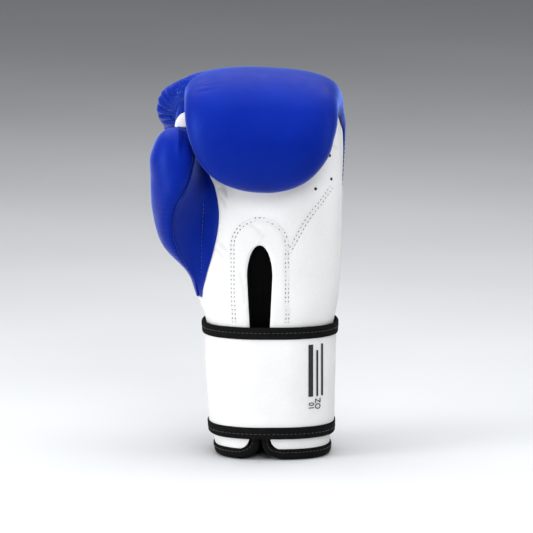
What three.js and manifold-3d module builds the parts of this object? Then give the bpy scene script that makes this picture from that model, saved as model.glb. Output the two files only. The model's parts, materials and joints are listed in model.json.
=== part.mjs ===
// A left-hand boxing training glove that closes with a hook-and-loop wrist strap.
// Millimetres. +Z runs from the cuff rim to the knuckles, -Y is the palm side and
// -X is the thumb side. The rim stands on the plane z = 0.
import * as THREE from "three";
import { mergeVertices } from "three/addons/utils/BufferGeometryUtils.js";
import Module from "manifold-3d";

const wasm = await Module();
wasm.setup();

// ---------------------------------------------------------------- driving dimensions

const LEATHER = 1.5; // thickness of every outer panel
const LINING = 0.9; // thickness of the inner cloth
const GAP = 0.35; // clearance between layers that lie on each other
const CLEAR = 0.9; // clearance between a panel and the volume that it is cut round

const PALM_FOAM = 2.8; // foam behind the palm leather
const FACING = 1.2; // leather facing sewn behind the wrist slit
const CUFF_FOAM = 4.6; // foam in the cuff
const HAND_SQUARENESS = 2.5; // superellipse exponents of the three lofts
const MITT_SQUARENESS = 2.7;
const THUMB_SQUARENESS = 2.25;

const BINDING_H = 7.6; // height of the tape round the cuff rim
const BINDING_IN = -8.9; // how deep and how proud of the leather the tape reaches
const BINDING_OUT = 1.1;
const CUFF_TOP = 100.4; // the cuff's top seam, level with the top edge of the strap
const PALM_BOTTOM = 101;
const PALM_TOP = 248; // the palm leather runs up into the fold under the finger roll
const PALM_LAYERS_TOP = 214; // its foam and lining end below the grip bar
const SIDE_TOP = 258; // the side walls run up under the top of the mitt

const SLIT_X = -7.6; // centre line of the wrist slit
const SLIT_HALF = 9.4; // half width of the slit at its widest
const SLIT_WAIST = 7.4; // half width of the slit under the strap
const SLIT_FOOT = { z: 20, flare: 8.5 }; // below this height its edges turn outwards
const SLIT_WIDEST_Z = 138;
const SLIT_TOP = 161;
const GUSSET = { half: 16, bottom: 13.6, top: 170, thickness: 1 }; // elastic behind the slit
const ARCH_HALF = 22; // half width of the facing round the slit
const ARCH_TOP = 181;

const LABEL = { z: [16, 40], angles: [78, 102], thickness: 0.7 };
const LOOPS = { z: [24, 92], angles: [46, 117], out: 1 }; // the loop patch on the cuff

const STRAP_BOTTOM = 16;
const STRAP_TOP = 100;
const STRAP_TAPE = 9; // height of the tape on the strap's two long edges
const STRAP_IN = 0.4; // layers of the strap, out from the cuff leather
const STRAP_OUT = 3.0;
const STRAP_TAPE_OUT = 3.6;
const STRAP_CORE = [1.2, 2];
const STRAP_CLOTH_OUT = 0.85;
const STRAP_SEAM = 0.3; // clearance between the face and the tapes
const PEEL_IN = 1.4; // the strap's end starts further out, over the loop patch
const HOOKS_START = 46; // degrees
const END_TAPE = 4; // degrees of tape across the strap's end
const ANCHOR_START = 124; // the strap's places round the wrist, in degrees
const THUMB_HINGE = 178.5; // 0 is the little-finger side, 90 the back of the hand
const PINKY_HINGE = -7.5;
const STRAP_END = 116;
const HINGE_SLACK = 0.8; // degrees left free on each side of a strap hinge

const MITT_SPLIT = 6; // station where the finger roll flexes on the hand pad
const SPLIT_SLACK = 0.012;
const MITT_CLOSING = 7.2; // stations past this close the roll to its lip
const MITT_END = 10;
const ROLL_OPEN = 7.3; // the roll's underside starts here, past the finger opening
const KNUCKLE_SLOPE = 0.03; // the knuckle line drops towards the little finger
const KNUCKLE_X = -20;

const THUMB_BOTTOM = 119;
const THUMB_CLOSING = 219.5; // the thumb closes to its tip above this height
const THUMB_TOP = 248;
const THUMB_CAVITY = { share: 0.5, bottom: 142, top: 234 };
const THUMB_MOUTH = { y: -19, z: 162, halfY: 11, halfZ: 17, left: -60, right: -38 };

// The tab between the thumb and the mitt; its top leans back.
const TAB = { x: [-69.6, -61.2], y: [-20, -15], z: [248.6, 257.6], lean: 2 };

const GRIP_BAR = { radius: 7, y: -12, z: 226, left: -50, right: 38 };
const VENT_R = 1.2;
const VENTS = [
  [43.8, 224.5],
  [45, 207.5],
  [33.3, 201.5],
];

// Hand and cuff loft: height, centre x, half width, palm-side y, back-side y.
const HAND = [
  [0, 2.2, 42, -34, 34],
  [16, 1.3, 43.2, -34.5, 34.5],
  [60, 0.4, 44.9, -35.5, 35.5],
  [98, 0, 47, -36, 36],
  [118, -1.3, 51.9, -37, 36],
  [150, -2.8, 55.3, -38, 36],
  [190, -4.5, 58, -36, 37],
  [215, -7.5, 60.5, -31, 37],
  [245, -10, 60, -26, 34],
  [262, -10, 57, -22, 30],
];

// Mitt loft, from the back of the wrist over the knuckles to the lip of the roll:
// station, spine y, spine z, centre x, half width, half thickness.
const MITT = [
  [0, 36, 102, 0, 48.5, 4],
  [1, 36.5, 130, -1.8, 53.2, 10],
  [2, 37, 165, -5.8, 58.2, 15.5],
  [3, 38, 205, -10, 64.2, 18],
  [4, 34, 239, -11.2, 67.3, 19.5],
  [4.5, 27, 251, -13.6, 68.4, 20.3],
  [5, 18, 260, -13.2, 66.8, 21],
  [6, -8, 267.8, -6.5, 57.5, 20.5],
  [7, -34, 261, -5.6, 56.5, 19.5],
  [8, -48, 243, -5.9, 56, 18],
  [9, -51, 222, -6.6, 56, 17],
  [10, -48, 205, -6.6, 56, 16],
];

// Thumb loft: height, centre x, half width, centre y, half depth.
const THUMB = [
  [118, -50.5, 3, -8, 6],
  [138, -53, 7.3, -14, 15],
  [160, -58.5, 20.5, -19, 23],
  [185, -61.5, 24.5, -23, 27],
  [210, -65.5, 22, -26, 27],
  [232, -69, 19, -28, 23],
  [249, -69, 18, -28, 22],
];

// ---------------------------------------------------------------- small helpers

const lerp = THREE.MathUtils.lerp;
const rad = THREE.MathUtils.degToRad;
const deg = THREE.MathUtils.radToDeg;

// A smooth cubic through rows of [key, value, value...]; it returns the values at a key.
function track(rows) {
  const slope = (i, k) => {
    const a = rows[Math.max(i - 1, 0)];
    const b = rows[Math.min(i + 1, rows.length - 1)];
    return (b[k] - a[k]) / (b[0] - a[0]);
  };
  return (key) => {
    let i = rows.findIndex((row) => row[0] >= key) - 1;
    if (i === -2) i = rows.length - 2;
    i = Math.max(i, 0);
    const [p, q] = [rows[i], rows[i + 1]];
    const span = q[0] - p[0];
    const t = THREE.MathUtils.clamp((key - p[0]) / span, 0, 1);
    return p.slice(1).map((value, j) => {
      const k = j + 1;
      const [m, n] = [slope(i, k) * span, slope(i + 1, k) * span];
      const [t2, t3] = [t * t, t * t * t];
      return (
        value * (2 * t3 - 3 * t2 + 1) +
        m * (t3 - 2 * t2 + t) +
        q[k] * (3 * t2 - 2 * t3) +
        n * (t3 - t2)
      );
    });
  };
}

// A power of a cosine or sine that keeps its sign: the superellipse's coordinate.
function rounded(value, squareness) {
  return Math.sign(value) * Math.abs(value) ** (2 / squareness);
}

// How far a rounded end has closed: 1 before its start, 0 at its finish.
function closing(key, start, finish, power) {
  const t = THREE.MathUtils.clamp((key - start) / (finish - start), 0, 1);
  return (1 - t ** power) ** (1 / power);
}

// ---------------------------------------------------------------- the three lofts

const handAt = track(HAND);
const mittAt = track(MITT);
const thumbAt = track(THUMB);

// A point on the hand loft: height, angle in degrees, distance out from the leather.
function hand(z, angle, out) {
  const [cx, half, front, back] = handAt(z);
  const a = rad(angle);
  return new THREE.Vector3(
    cx + (half + out) * rounded(Math.cos(a), HAND_SQUARENESS),
    (front + back) / 2 +
      ((back - front) / 2 + out) * rounded(Math.sin(a), HAND_SQUARENESS),
    z,
  );
}

// The angle on the palm side of the hand loft at which its leather stands at x.
function handAngle(z, x) {
  const [cx, half] = handAt(z);
  const share = THREE.MathUtils.clamp((x - cx) / half, -1, 1);
  return 360 - deg(Math.acos(rounded(share, 4 / HAND_SQUARENESS)));
}

// A point on the mitt loft. Angle 90 is the outside of the curl, 270 the inside. The
// width and thickness are multiplied by shares before the distance out is added.
function mitt(station, angle, out, widthShare = 1, thickShare = 1) {
  const [y, z, cx, half, thick] = mittAt(station);
  const [y2, z2] = mittAt(Math.min(station + 0.05, MITT_END));
  const [y1, z1] = mittAt(Math.max(station - 0.05, 0));
  const along = new THREE.Vector2(y2 - y1, z2 - z1).normalize();
  const f = closing(station, MITT_CLOSING, MITT_END, 2);
  const a = rad(angle);
  const width = Math.max(half * f * widthShare + out, 0.6);
  const depth = Math.max(thick * f ** 0.7 * thickShare + out, 0.4);
  const x = cx + width * rounded(Math.cos(a), MITT_SQUARENESS);
  const n = depth * rounded(Math.sin(a), MITT_SQUARENESS);
  const end = out * THREE.MathUtils.smoothstep(station, MITT_CLOSING, MITT_END);
  const drop = KNUCKLE_SLOPE * (x - KNUCKLE_X) * THREE.MathUtils.smoothstep(station, 3, 6);
  return new THREE.Vector3(
    x,
    y + n * along.y + end * along.x,
    z - n * along.x + end * along.y - drop,
  );
}

// A point on the thumb loft. Angle 180 faces away from the hand.
function thumb(z, angle, out, share = 1) {
  const [cx, half, cy, depth] = thumbAt(z);
  const f = closing(z, THUMB_CLOSING, THUMB_TOP, 2.4);
  const a = rad(angle);
  return new THREE.Vector3(
    cx + Math.max(half * f * share + out, 0.6) * rounded(Math.cos(a), THUMB_SQUARENESS),
    cy + Math.max(depth * f * share + out, 0.6) * rounded(Math.sin(a), THUMB_SQUARENESS),
    z + out * THREE.MathUtils.smoothstep(z, THUMB_CLOSING, THUMB_TOP),
  );
}

// Each loft has fixed rows and a fixed pitch in degrees, so that the facets of all the
// layers made from it line up.
const HAND_LOFT = {
  at: hand,
  rows: [30, 60, 91, 100, 109, 118, 134, 155, 180, 205, 231, 245],
  pitch: 15,
};
const MITT_LOFT = {
  at: mitt,
  rows: [0.5, 1, 1.5, 2, 2.5, 3, 3.5, 4, 4.5, 5, 5.5, 6, 6.5, 7, 7.5, 8, 8.5, 9, 9.4, 9.75, 9.93],
  pitch: 15,
};
const THUMB_LOFT = {
  at: thumb,
  rows: [129, 139, 149, 160, 172, 185, 197, 209, 219, 228, 235.5, 241.5, 245.5, 247.4],
  pitch: 22.5,
};

// ---------------------------------------------------------------- closed solids

// Turns a closed geometry to face outwards, and merges its vertices.
function closed(geometry) {
  geometry.deleteAttribute("uv");
  geometry.deleteAttribute("normal");
  const g = mergeVertices(geometry, 1e-3);
  const p = g.attributes.position;
  const index = Array.from(g.index.array);
  const [a, b, c] = [new THREE.Vector3(), new THREE.Vector3(), new THREE.Vector3()];
  const kept = [];
  let volume = 0;
  for (let i = 0; i < index.length; i += 3) {
    const [i0, i1, i2] = index.slice(i, i + 3);
    if (i0 === i1 || i1 === i2 || i2 === i0) continue;
    kept.push(i0, i1, i2);
    a.fromBufferAttribute(p, i0);
    b.fromBufferAttribute(p, i1);
    c.fromBufferAttribute(p, i2);
    volume += a.dot(b.cross(c));
  }
  if (volume < 0)
    for (let i = 0; i < kept.length; i += 3)
      [kept[i + 1], kept[i + 2]] = [kept[i + 2], kept[i + 1]];
  g.setIndex(kept);
  return g;
}

// A box bent by place(u, v, k), each 0 to 1: u and v run over a panel, k through it.
function panel(nu, nv, place) {
  const g = new THREE.BoxGeometry(1, 1, 1, nu, nv, 1);
  const p = g.attributes.position;
  for (let i = 0; i < p.count; i++) {
    const q = place(p.getX(i) + 0.5, p.getY(i) + 0.5, p.getZ(i) + 0.5);
    p.setXYZ(i, q.x, q.y, q.z);
  }
  return closed(g);
}

// The two ends of a stretch and the places of a grid that lie well between them.
function stations(from, to, grid) {
  const margin = 0.15 * Math.abs(grid[1] - grid[0]);
  return [from, ...grid.filter((g) => g > from + margin && g < to - margin), to];
}

// A patch of a loft between two rows, two angles and two distances out.
function patch(loft, rowRange, angleRange, [inside, outside], share) {
  const first = Math.ceil(angleRange[0] / loft.pitch);
  const grid = Array.from({ length: 60 }, (_, i) => (first + i) * loft.pitch);
  const angles = stations(...angleRange, grid);
  const rows = stations(...rowRange, loft.rows);
  const [nu, nv] = [angles.length - 1, rows.length - 1];
  return panel(nu, nv, (u, v, k) => {
    const [row, angle] = [rows[Math.round(v * nv)], angles[Math.round(u * nu)]];
    return loft.at(row, angle, lerp(inside, outside, k), share);
  });
}

// A solid stretch of a loft between two rows.
function plug(loft, rowRange, out, share) {
  const rows = stations(...rowRange, loft.rows);
  const n = rows.length - 1;
  const g = new THREE.CylinderGeometry(1, 1, 1, 360 / loft.pitch, n);
  const p = g.attributes.position;
  const middle = new THREE.Vector3();
  for (let i = 0; i < p.count; i++) {
    const [x, z] = [p.getX(i), p.getZ(i)];
    const row = rows[Math.round((p.getY(i) + 0.5) * n)];
    const q = loft.at(row, deg(Math.atan2(z, x)), out, share);
    if (Math.hypot(x, z) < 0.5) {
      middle.addVectors(loft.at(row, 0, out, share), loft.at(row, 180, out, share));
      q.copy(middle.divideScalar(2));
    }
    p.setXYZ(i, q.x, q.y, q.z);
  }
  return closed(g);
}

function solidOf(geometry) {
  return new wasm.Manifold(
    new wasm.Mesh({
      numProp: 3,
      vertProperties: geometry.attributes.position.array,
      triVerts: new Uint32Array(geometry.index.array),
    }),
  );
}

function geometryOf(solid) {
  const m = solid.getMesh();
  const g = new THREE.BufferGeometry();
  g.setAttribute("position", new THREE.BufferAttribute(m.vertProperties, 3));
  g.setIndex(new THREE.BufferAttribute(m.triVerts, 1));
  return g;
}

// The geometry less some solids. Slivers that the cut leaves over are dropped.
function cut(geometry, ...tools) {
  const left = tools.reduce((s, tool) => s.subtract(tool), solidOf(geometry));
  const pieces = left.decompose().sort((a, b) => b.volume() - a.volume());
  return geometryOf(pieces[0]);
}

// The two largest pieces that a cut leaves, the one at lower x first.
function halves(geometry, ...tools) {
  const left = tools.reduce((s, tool) => s.subtract(tool), solidOf(geometry));
  const pieces = left.decompose().sort((a, b) => b.volume() - a.volume()).slice(0, 2);
  const low = (s) => s.boundingBox().min[0];
  return pieces.sort((a, b) => low(a) - low(b)).map(geometryOf);
}

// ---------------------------------------------------------------- cutting volumes

// A prism through the palm side, from an outline drawn in x and z.
function palmPrism(shape) {
  const g = new THREE.ExtrudeGeometry(shape, { depth: 60, bevelEnabled: false, curveSegments: 6 });
  g.rotateX(Math.PI / 2);
  g.translate(0, -2, 0);
  return solidOf(closed(g));
}

// The slit: a narrow arch that flares into two rounded corners at the rim.
function slitPrism() {
  const s = new THREE.Shape();
  const side = (d) => SLIT_X + d;
  const foot = SLIT_WAIST + SLIT_FOOT.flare;
  s.moveTo(side(-foot), -2);
  s.lineTo(side(-foot), BINDING_H);
  s.quadraticCurveTo(side(-SLIT_WAIST), BINDING_H + 1, side(-SLIT_WAIST), SLIT_FOOT.z);
  s.lineTo(side(-SLIT_WAIST), 96);
  s.lineTo(side(-SLIT_HALF), SLIT_WIDEST_Z);
  s.bezierCurveTo(side(-SLIT_HALF), 150, side(-5.5), SLIT_TOP, SLIT_X, SLIT_TOP);
  s.bezierCurveTo(side(5.5), SLIT_TOP, side(SLIT_HALF), 150, side(SLIT_HALF), SLIT_WIDEST_Z);
  s.lineTo(side(SLIT_WAIST), 96);
  s.lineTo(side(SLIT_WAIST), SLIT_FOOT.z);
  s.quadraticCurveTo(side(SLIT_WAIST), BINDING_H + 1, side(foot), BINDING_H);
  s.lineTo(side(foot), -2);
  return palmPrism(s);
}

function archPrism() {
  const s = new THREE.Shape();
  const spring = ARCH_TOP - ARCH_HALF;
  s.moveTo(SLIT_X - ARCH_HALF, PALM_BOTTOM - 1);
  s.lineTo(SLIT_X - ARCH_HALF, spring);
  s.absarc(SLIT_X, spring, ARCH_HALF, Math.PI, 0, true);
  s.lineTo(SLIT_X + ARCH_HALF, PALM_BOTTOM - 1);
  return palmPrism(s);
}

// Punched air holes, square to the palm leather.
function ventRods() {
  return VENTS.map(([x, z]) => {
    const angle = handAngle(z, x);
    const [root, tip] = [hand(z, angle, -12), hand(z, angle, 4)];
    const g = new THREE.CylinderGeometry(VENT_R, VENT_R, root.distanceTo(tip), 8);
    const along = tip.clone().sub(root).normalize();
    g.applyQuaternion(new THREE.Quaternion().setFromUnitVectors(new THREE.Vector3(0, 1, 0), along));
    const middle = root.add(tip).divideScalar(2);
    g.translate(middle.x, middle.y, middle.z);
    return solidOf(closed(g));
  });
}

// The way from the hand's space into the thumb: an oval rod along X.
function mouthRod() {
  const { y, z, halfY, halfZ, left, right } = THUMB_MOUTH;
  const g = new THREE.CylinderGeometry(1, 1, right - left, 16);
  g.rotateZ(Math.PI / 2);
  g.scale(1, halfY, halfZ);
  g.translate((left + right) / 2, y, z);
  return solidOf(closed(g));
}

const SLIT = slitPrism();
const ARCH = archPrism();
const MITT_VOLUME = solidOf(plug(MITT_LOFT, [0, 9.998], CLEAR));
const HAND_VOLUME = solidOf(plug(HAND_LOFT, [90, 261], CLEAR));
const THUMB_ROOM = solidOf(
  plug(THUMB_LOFT, [THUMB_CAVITY.bottom, THUMB_CAVITY.top], 0, THUMB_CAVITY.share),
);
const THUMB_WAY = THUMB_ROOM.add(mouthRod());

// ---------------------------------------------------------------- materials and nodes

const looks = {
  blue_leather: [0x1a38b0, 0.42],
  white_leather: [0xe9e9e8, 0.5],
  black_tape: [0x141414, 0.75],
  black_elastic: [0x0b0b0b, 0.85],
  black_hook: [0x101010, 0.95],
  lining_cloth: [0x1b1b1e, 0.95],
  pad_foam: [0xd8cfa8, 0.9],
  label_cloth: [0xe6e4dc, 0.85],
};

const glove = new THREE.Group();

function add(name, geometry, look) {
  const [color, roughness] = looks[look];
  const material = new THREE.MeshStandardMaterial({ color, roughness, metalness: 0 });
  const mesh = new THREE.Mesh(geometry, material);
  mesh.name = name;
  glove.add(mesh);
}

// ---------------------------------------------------------------- cuff

// Where the rim tape's middle runs beside the slit: distance from the slit's centre line,
// and height. The last place is on the rim.
const TAPE_TURN = [
  [3.5, 46],
  [3.5, 30],
  [3.5, 16],
  [4.1, 10.6],
  [7, 6.4],
  [14.5, BINDING_H / 2],
];
const TAPE_STEPS = 40; // stretches of the tape from one side of the slit round to the other
const TAPE_UPRIGHT = 6.2; // width of the tape where it stands up in the slit

// The tape round the rim: a ribbon that starts up one edge of the slit, turns round the
// rounded corner, follows the rim past the back of the wrist and ends up the other edge.
function rimTape() {
  const turn = (side) => TAPE_TURN.map(([d, z]) => [handAngle(z, SLIT_X + side * d), z]);
  const left = turn(-1);
  const right = turn(1).reverse().map(([a, z]) => [a - 360, z]);
  const [from, to] = [left[left.length - 1][0], right[0][0]];
  const ring = Array.from({ length: TAPE_STEPS - 1 }, (_, i) => [
    lerp(from, to, (i + 1) / TAPE_STEPS),
    BINDING_H / 2,
  ]);
  const route = [...left, ...ring, ...right];
  const last = route.length - 1;
  const at = (t) => {
    const f = THREE.MathUtils.clamp(t, 0, 1) * last;
    const i = Math.min(Math.floor(f), last - 1);
    const [p, q] = [route[i], route[i + 1]];
    return [lerp(p[0], q[0], f - i), lerp(p[1], q[1], f - i)];
  };
  return panel(1, last, (u, v, k) => {
    const [a, z] = at(v);
    const [a0, z0] = at(v - 0.5 / last);
    const [a1, z1] = at(v + 0.5 / last);
    const perDegree = hand(z, a + 0.5, 0).distanceTo(hand(z, a - 0.5, 0));
    const along = new THREE.Vector2((a1 - a0) * perDegree, z1 - z0).normalize();
    const across = (u - 0.5) * lerp(BINDING_H, TAPE_UPRIGHT, Math.abs(along.y));
    // Under the strap the tape lies flush with the leather.
    const proud = lerp(BINDING_OUT, -GAP, THREE.MathUtils.smoothstep(z, 7.6, 13));
    const out = lerp(BINDING_IN, proud, k);
    return hand(z + across * along.x, a - (across * along.y) / perDegree, out);
  });
}

function cuff() {
  const leather = [-LEATHER, 0];
  const foam = [-LEATHER - GAP - CUFF_FOAM, -LEATHER - GAP];
  const lining = [foam[0] - GAP - LINING, foam[0] - GAP];
  const rows = [BINDING_H + 0.4, CUFF_TOP];
  const flaps = halves(patch(HAND_LOFT, rows, [161, 379], leather), SLIT);
  add("cuff_flap_thumb_side", flaps[0], "white_leather");
  add("cuff_flap_pinky_side", flaps[1], "white_leather");
  add("cuff_back_panel", patch(HAND_LOFT, rows, [19.6, 160.4], leather), "white_leather");

  // Closed rings, opened by the slit.
  const ring = (layer) => cut(patch(HAND_LOFT, rows, [-90, 269.9], layer), SLIT);
  add("cuff_foam", ring(foam), "pad_foam");
  add("cuff_lining", ring(lining), "lining_cloth");
  add("cuff_rim_tape", rimTape(), "black_tape");

  const { half, bottom, top, thickness } = GUSSET;
  const face = BINDING_IN - GAP;
  const gusset = panel(4, 9, (u, v, k) => {
    const z = lerp(bottom, top, v);
    const angle = handAngle(z, SLIT_X + lerp(-half, half, u));
    return hand(z, angle, lerp(face - thickness, face, k));
  });
  add("slit_elastic_gusset", gusset, "black_elastic");
  const label = [lining[0] - GAP - LABEL.thickness, lining[0] - GAP];
  add("size_label", patch(HAND_LOFT, LABEL.z, LABEL.angles, label), "label_cloth");
  add("loop_patch", patch(HAND_LOFT, LOOPS.z, LOOPS.angles, [STRAP_IN, LOOPS.out]), "black_hook");
}

// ---------------------------------------------------------------- palm and hand bag

function palm() {
  const leather = [-LEATHER, 0];
  const facing = [leather[0] - GAP - FACING, leather[0] - GAP];
  const foam = [facing[0] - GAP - PALM_FOAM, facing[0] - GAP];
  const lining = [foam[0] - GAP - LINING, foam[0] - GAP];
  const front = [196, 344]; // degrees between the two side seams
  const rounds = [SLIT, MITT_VOLUME, THUMB_WAY];

  const outer = patch(HAND_LOFT, [PALM_BOTTOM, PALM_TOP], front, leather);
  add("palm_panel", cut(outer, ...rounds, ...ventRods()), "white_leather");
  const under = [PALM_BOTTOM, PALM_LAYERS_TOP];
  const arch = solidOf(patch(HAND_LOFT, under, [225, 315], facing)).intersect(ARCH);
  add("slit_facing", geometryOf(arch.subtract(SLIT)), "white_leather");
  add("palm_foam", cut(patch(HAND_LOFT, under, front, foam), ...rounds), "pad_foam");
  const bag = patch(HAND_LOFT, under, [150, 390], lining);
  add("palm_lining", cut(bag, ...rounds), "lining_cloth");

  const wall = (angles) =>
    cut(patch(HAND_LOFT, [PALM_BOTTOM, SIDE_TOP], angles, leather), MITT_VOLUME, THUMB_WAY);
  add("index_side_panel", wall([127, 195.4]), "white_leather");
  add("pinky_side_panel", wall([344.6, 413]), "white_leather");

  const { radius, y, z, left, right } = GRIP_BAR;
  const bar = new THREE.CapsuleGeometry(radius, right - left - 2 * radius, 3, 10);
  bar.rotateZ(Math.PI / 2);
  bar.translate((left + right) / 2, y, z);
  add("grip_bar", closed(bar), "pad_foam");
}

// ---------------------------------------------------------------- mitt

const SHELL_SPAN = [-28, 208]; // the blue shells wrap a little past the two sides
const SKIN = LEATHER + GAP; // the foam lies this far in from a shell's outer face

function mittBack() {
  const stop = MITT_SPLIT - SPLIT_SLACK;
  add("back_shell", patch(MITT_LOFT, [0, stop], SHELL_SPAN, [-LEATHER, 0]), "blue_leather");
  add("back_foam", plug(MITT_LOFT, [0.04, stop], -SKIN), "pad_foam");
  const lining = patch(MITT_LOFT, [0.1, 5.6], [240, 300], [GAP, GAP + LINING]);
  add("back_lining", lining, "lining_cloth");
}

function fingerRoll() {
  const start = MITT_SPLIT + SPLIT_SLACK;
  const lip = 9.998;
  const shell = patch(MITT_LOFT, [start, lip], SHELL_SPAN, [-LEATHER, 0]);
  add("finger_shell", shell, "blue_leather");
  const core = { at: fingerCore, rows: MITT_LOFT.rows, pitch: MITT_LOFT.pitch };
  add("finger_foam", patch(core, [start, 9.75], [-15, 195], [0.12, 1]), "pad_foam");
  const under = patch(MITT_LOFT, [ROLL_OPEN, lip], [209.5, 330.5], [-LEATHER, 0]);
  add("finger_underside", under, "blue_leather");
  const inner = patch(MITT_LOFT, [ROLL_OPEN, 9.6], [200, 340], [-SKIN - LINING, -SKIN]);
  add("finger_lining", inner, "lining_cloth");
}

// The foam of the roll: only its outer half is filled, and the fingers lie in the rest.
function fingerCore(station, angle, k) {
  return mitt(station, angle, -SKIN, lerp(0.8, 1, k), k);
}

// ---------------------------------------------------------------- thumb

function thumbParts() {
  const rows = [THUMB_BOTTOM, THUMB_TOP - 0.01];
  const skin = [-LEATHER, 0];
  const round = (geometry) => cut(geometry, HAND_VOLUME, MITT_VOLUME, mouthRod());
  // The two shells meet at seams on the palm side and the back.
  const outer = round(patch(THUMB_LOFT, rows, [60, 288], skin));
  add("thumb_outer_shell", outer, "blue_leather");
  const inner = round(patch(THUMB_LOFT, rows, [289, 419], skin));
  add("thumb_inner_shell", inner, "blue_leather");

  const foam = plug(THUMB_LOFT, [THUMB_BOTTOM + 2, THUMB_TOP - 0.01], -SKIN);
  add("thumb_foam", cut(foam, HAND_VOLUME, MITT_VOLUME, THUMB_WAY), "pad_foam");
  const { share, bottom, top } = THUMB_CAVITY;
  const cloth = [-LINING - GAP, -GAP];
  const lining = patch(THUMB_LOFT, [bottom + 2, top - 2], [-178, 178], cloth, share);
  add("thumb_lining", cut(lining, HAND_VOLUME, mouthRod()), "lining_cloth");

  // The tab that keeps the thumb against the mitt.
  const tab = panel(2, 2, (u, v, k) => {
    const [x, y, z] = [lerp(...TAB.x, u), lerp(...TAB.y, k), lerp(...TAB.z, v)];
    return new THREE.Vector3(x, y + TAB.lean * v, z);
  });
  add("thumb_tab", cut(tab, MITT_VOLUME, HAND_VOLUME), "white_leather");
}

// ---------------------------------------------------------------- strap

// One stretch of the strap: its leather face and the tapes on its two long edges.
function strapStretch(name, angles, base) {
  const inner = [STRAP_BOTTOM + STRAP_TAPE + STRAP_SEAM, STRAP_TOP - STRAP_TAPE - STRAP_SEAM];
  const face = [STRAP_CORE[1] + STRAP_SEAM, STRAP_OUT];
  add(`${name}_face`, patch(HAND_LOFT, inner, angles, face), "white_leather");
  const tape = [base, STRAP_TAPE_OUT];
  const top = [STRAP_TOP - STRAP_TAPE, STRAP_TOP];
  const bottom = [STRAP_BOTTOM, STRAP_BOTTOM + STRAP_TAPE];
  add(`${name}_tape_top`, patch(HAND_LOFT, top, angles, tape), "black_tape");
  add(`${name}_tape_bottom`, patch(HAND_LOFT, bottom, angles, tape), "black_tape");
  return inner;
}

function strap() {
  const anchor = [ANCHOR_START, THUMB_HINGE - HINGE_SLACK];
  const anchorRows = strapStretch("strap_anchor", anchor, STRAP_IN);
  const anchorCore = patch(HAND_LOFT, anchorRows, anchor, [STRAP_IN, STRAP_CORE[1]]);
  add("strap_anchor_core", anchorCore, "pad_foam");

  const front = [THUMB_HINGE + HINGE_SLACK, 360 + PINKY_HINGE - HINGE_SLACK];
  const rows = strapStretch("strap_front", front, STRAP_IN);
  const cloth = [STRAP_IN, STRAP_CLOTH_OUT];
  add("strap_front_core", patch(HAND_LOFT, rows, front, STRAP_CORE), "pad_foam");
  add("strap_front_backing", patch(HAND_LOFT, rows, front, cloth), "lining_cloth");

  const end = [PINKY_HINGE + HINGE_SLACK, STRAP_END - END_TAPE];
  strapStretch("strap_end", end, PEEL_IN);
  const layer = [PEEL_IN, STRAP_CORE[1]];
  const backed = [end[0], HOOKS_START];
  add("strap_end_backing", patch(HAND_LOFT, rows, backed, layer), "lining_cloth");
  const hooks = [HOOKS_START + 0.6, end[1]];
  add("hook_patch", patch(HAND_LOFT, rows, hooks, layer), "black_hook");
  const whole = [STRAP_BOTTOM, STRAP_TOP];
  const tab = [end[1] + 0.4, STRAP_END];
  add("strap_end_tab", patch(HAND_LOFT, whole, tab, [PEEL_IN, STRAP_TAPE_OUT]), "black_tape");
}

cuff();
palm();
mittBack();
fingerRoll();
thumbParts();
strap();

// The part's origin is the middle of its footprint, on the plane that it stands on.
const box = new THREE.Box3().setFromObject(glove);
const middle = box.getCenter(new THREE.Vector3());
glove.position.set(-middle.x, -middle.y, -box.min.z);

export default glove;
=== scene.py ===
"""The looks of a left-hand boxing training glove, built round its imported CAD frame.

Lengths are millimetres in the glove's own frame until a mesh is made: +Z runs from the cuff rim to the
knuckles, -Y is the palm side and -X is the thumb side. Angles round the hand and the thumb are degrees,
0 on the little-finger side and 90 at the back; round the mitt 90 is the outside of its curl.
"""

import json
import math

import bpy
import numpy as np
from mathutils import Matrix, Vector


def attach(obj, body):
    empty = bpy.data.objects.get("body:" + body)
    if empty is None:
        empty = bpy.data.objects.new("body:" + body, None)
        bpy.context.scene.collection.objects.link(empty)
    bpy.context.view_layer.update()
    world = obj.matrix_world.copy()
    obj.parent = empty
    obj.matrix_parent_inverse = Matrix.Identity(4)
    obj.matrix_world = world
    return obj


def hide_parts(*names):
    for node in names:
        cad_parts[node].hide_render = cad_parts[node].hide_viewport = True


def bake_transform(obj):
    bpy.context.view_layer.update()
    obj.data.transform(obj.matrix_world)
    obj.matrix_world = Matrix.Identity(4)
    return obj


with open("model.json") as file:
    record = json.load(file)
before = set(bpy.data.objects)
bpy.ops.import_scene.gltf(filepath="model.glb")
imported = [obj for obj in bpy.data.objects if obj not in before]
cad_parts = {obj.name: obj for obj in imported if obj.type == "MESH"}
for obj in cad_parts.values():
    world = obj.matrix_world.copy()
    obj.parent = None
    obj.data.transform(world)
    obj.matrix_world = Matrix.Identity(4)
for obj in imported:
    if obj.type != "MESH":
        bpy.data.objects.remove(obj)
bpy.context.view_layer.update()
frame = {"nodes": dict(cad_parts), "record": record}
MM = 0.001
SHARP = 40  # degrees between faces from which an edge is drawn sharp

# ---------------------------------------------------------------- the CAD's driving dimensions

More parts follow.
